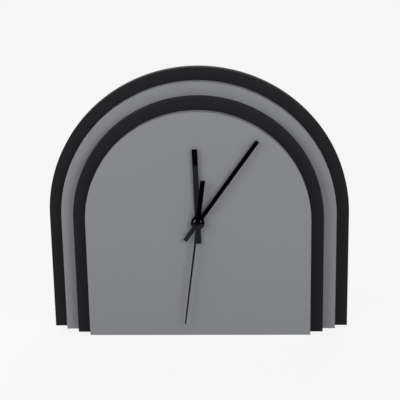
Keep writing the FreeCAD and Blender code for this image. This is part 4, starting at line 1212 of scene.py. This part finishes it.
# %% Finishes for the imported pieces
INSIDE = {
    "mounting_pad": FOAM,
    "bearing_plate": WHEEL_PLASTIC,
    "stator": IRON,
    "coil_core": IRON,
    "coil_bobbin": WHEEL_PLASTIC,
    "coil_winding": COPPER,
    "circuit_board": LAMINATE,
    "chip": RESIN,
    "quartz_crystal": NICKEL,
    "rotor_pinion": WHEEL_PLASTIC,
    "rotor_magnet": FERRITE,
    "step_wheel": WHEEL_PLASTIC,
    "seconds_wheel": WHEEL_PLASTIC,
    "seconds_arbor": STEEL,
    "third_wheel": WHEEL_PLASTIC,
    "centre_wheel": BRASS,
    "minute_tube": WHEEL_PLASTIC,
    "minute_wheel": WHEEL_PLASTIC,
    "hour_wheel": WHEEL_PLASTIC,
}
for node, finish in INSIDE.items():
    piece = frame["nodes"][node]
    piece.data.materials.clear()
    piece.data.materials.append(finish)
print(f"{len(INSIDE)} packed pieces keep their own meshes")

# %% [markdown]
# ## Floor, lamps and room
# The clock stands on pale card, which throws about a quarter of the light up at it. A
# board's upper edge keeps that part from the board behind it, which is why the arches
# darken towards their inner side at the top. Two softboxes, above the clock on its left
# and right, give each hand its two shadows. A weak lamp overhead and two strips at the
# sides touch the rims, and two more lamps light the back. The background's tone is set
# for camera rays only, so that it puts no more light on the clock.

# %% The floor's finish
WHITE = (1, 1, 1, 1)
BACKGROUND = paint(246, 246, 246)[0]
SHADOW_NEAR, SHADOW_FAR = 0.15, 0.5
# FLOOR_LEVEL is the light that falls on the floor's paint
FLOOR_PAINT, FLOOR_LEVEL, FLOOR_GLOW = 0.1, 0.68, 0.66


def floor_finish():
    """Pale card: matt paint takes the shadow near the clock, and a glow adds the rest.

    Mirrors look through it at the room.
    """
    material = bpy.data.materials.new("pale_floor")
    material.use_nodes = True
    tree = material.node_tree
    tree.nodes.clear()
    seen = Signal.node(tree, "ShaderNodeLightPath", output="Is Camera Ray")
    mirrored = Signal.node(tree, "ShaderNodeLightPath", output="Is Glossy Ray")
    matt = Signal.node(tree, "ShaderNodeBsdfDiffuse", None, {"Color": (FLOOR_PAINT,) * 3 + (1,)})
    near_tone = FLOOR_GLOW + (BACKGROUND - FLOOR_PAINT * FLOOR_LEVEL - FLOOR_GLOW) * seen
    far_tone = FLOOR_GLOW + (BACKGROUND - FLOOR_GLOW) * seen
    glow = Signal.node(tree, "ShaderNodeEmission", None, {"Color": WHITE, "Strength": near_tone})
    near = Signal.node(tree, "ShaderNodeAddShader", None, {0: matt, 1: glow})
    far = Signal.node(tree, "ShaderNodeEmission", None, {"Color": WHITE, "Strength": far_tone})
    where = Signal.node(tree, "ShaderNodeTexCoord", output="Object")
    distance = Signal.node(
        tree, "ShaderNodeVectorMath", {"operation": "LENGTH"}, {0: where}, "Value"
    )
    fade = Signal.node(
        tree, "ShaderNodeMapRange", {"interpolation_type": "SMOOTHSTEP"},
        {"Value": distance, "From Min": SHADOW_NEAR, "From Max": SHADOW_FAR},
    )
    card = Signal.node(tree, "ShaderNodeMixShader", None, {0: fade, 1: near, 2: far})
    clear = Signal.node(tree, "ShaderNodeBsdfTransparent", None, {"Color": WHITE})
    blend = Signal.node(tree, "ShaderNodeMixShader", None, {0: mirrored, 1: card, 2: clear})
    out = tree.nodes.new("ShaderNodeOutputMaterial")
    tree.links.new(blend.socket, out.inputs["Surface"])
    return material


# %% The floor
FLOOR_RADIUS = 6.0

bpy.ops.mesh.primitive_circle_add(
    vertices=64, radius=FLOOR_RADIUS, fill_type="NGON", location=(0, 0, CAD_LOW.z)
)
floor = settle("floor")
floor.data.materials.append(floor_finish())
count_nodes(floor.data.materials[0])

# %% The lamps
AIM = Vector((0, 0, 90)) * MM


def softbox(name, turn, rise, away, size, level):
    """A lamp aimed at the clock, turned to the viewer's right and raised, in degrees.

    Its level is the light on a surface that faces it.
    """
    turn, rise = math.radians(turn), math.radians(rise)
    level_way = Vector((math.sin(turn), -math.cos(turn), 0))
    way = level_way * math.cos(rise) + Vector((0, 0, math.sin(rise)))
    lamp = bpy.data.lights.new(name, "AREA")
    lamp.shape = "RECTANGLE"
    lamp.size, lamp.size_y = size
    lamp.energy = level * (math.pi * away) ** 2
    lit = bpy.data.objects.new(name, lamp)
    lit.location = AIM + way * away
    lit.rotation_euler = way.to_track_quat("Z", "Y").to_euler()
    bpy.context.scene.collection.objects.link(lit)
    print(f"{name}: {lamp.energy:.1f} W")


softbox("left_softbox", turn=-52, rise=30, away=0.8, size=(0.5, 0.4), level=0.54)
softbox("right_softbox", turn=40, rise=28, away=0.8, size=(0.4, 0.4), level=0.46)
softbox("overhead_softbox", turn=-8, rise=70, away=1.2, size=(0.8, 0.5), level=0.06)
softbox("left_strip", turn=-80, rise=17, away=1.1, size=(0.25, 0.7), level=0.08)
softbox("right_strip", turn=74, rise=27, away=1.1, size=(0.25, 0.6), level=0.06)
softbox("rear_top_softbox", turn=172, rise=34, away=1.3, size=(0.6, 0.4), level=0.34)
softbox("rear_side_softbox", turn=-148, rise=22, away=1.3, size=(0.5, 0.5), level=0.42)

# %% The room
ROOM_LIGHT = 0.012
CARD_TONE, DARK_TONE, UPPER_TONE, REAR_TONE = 0.38, 0.008, 0.25, 0.25
CARD_EDGE = -0.3206
UPPER_FROM, UPPER_TO = 0.1, 0.5


def room():
    """An even dim room; in mirrors it is card below, dark in front, and pale elsewhere.

    CARD_EDGE is the slope of a ray at which the card ends and the dark begins.
    """
    world = bpy.data.worlds.new("room")
    bpy.context.scene.world = world
    world.use_nodes = True
    tree = world.node_tree
    tree.nodes.clear()
    seen = Signal.node(tree, "ShaderNodeLightPath", output="Is Camera Ray")
    mirrored = Signal.node(tree, "ShaderNodeLightPath", output="Is Glossy Ray")
    way = Signal.node(tree, "ShaderNodeTexCoord", output="Generated")
    rise, depth = along("Z", way), along("Y", way)
    upper = Signal.node(
        tree, "ShaderNodeMapRange", {"interpolation_type": "SMOOTHSTEP"},
        {
            "Value": rise, "From Min": UPPER_FROM, "From Max": UPPER_TO,
            "To Min": DARK_TONE, "To Max": UPPER_TONE,
        },
    )
    card = rise < CARD_EDGE
    front = upper + (CARD_TONE - upper) * card
    behind = depth > 0
    mirror_tone = front + (REAR_TONE - front) * behind
    plain = ROOM_LIGHT + (BACKGROUND - ROOM_LIGHT) * seen
    strength = plain + (mirror_tone - plain) * mirrored
    light = Signal.node(
        tree, "ShaderNodeBackground", None, {"Color": WHITE, "Strength": strength}
    )
    out = tree.nodes.new("ShaderNodeOutputWorld")
    tree.links.new(light.socket, out.inputs["Surface"])


room()
bpy.context.scene.view_settings.view_transform = "Standard"
print(f"Room: {ROOM_LIGHT} of white, and {CARD_TONE} below in mirrors")

# %% [markdown]
# ## The camera
# The view is from a little above and to the right, with a long lens, so the arches stay
# nearly parallel.

# %% The camera
CAMERA_PLACE = Vector((34.38, -790.97, 342.69)) * MM
LENS, SENSOR = 113.14, 36
LOOK_DOWN, LOOK_LEFT, ROLL = 17.574, 2.399, -1.05

lens = bpy.data.cameras.new("camera")
lens.lens = LENS
lens.sensor_width = SENSOR
lens.clip_start = 0.01
camera = bpy.data.objects.new("camera", lens)
bpy.context.scene.collection.objects.link(camera)
camera.matrix_world = (
    Matrix.Translation(CAMERA_PLACE)
    @ Matrix.Rotation(math.radians(LOOK_LEFT), 4, "Z")
    @ Matrix.Rotation(math.radians(90 - LOOK_DOWN), 4, "X")
    @ Matrix.Rotation(math.radians(ROLL), 4, "Z")
)
bpy.context.scene.camera = camera
print(f"Camera: {CAMERA_PLACE.length:.2f} m from the clock")
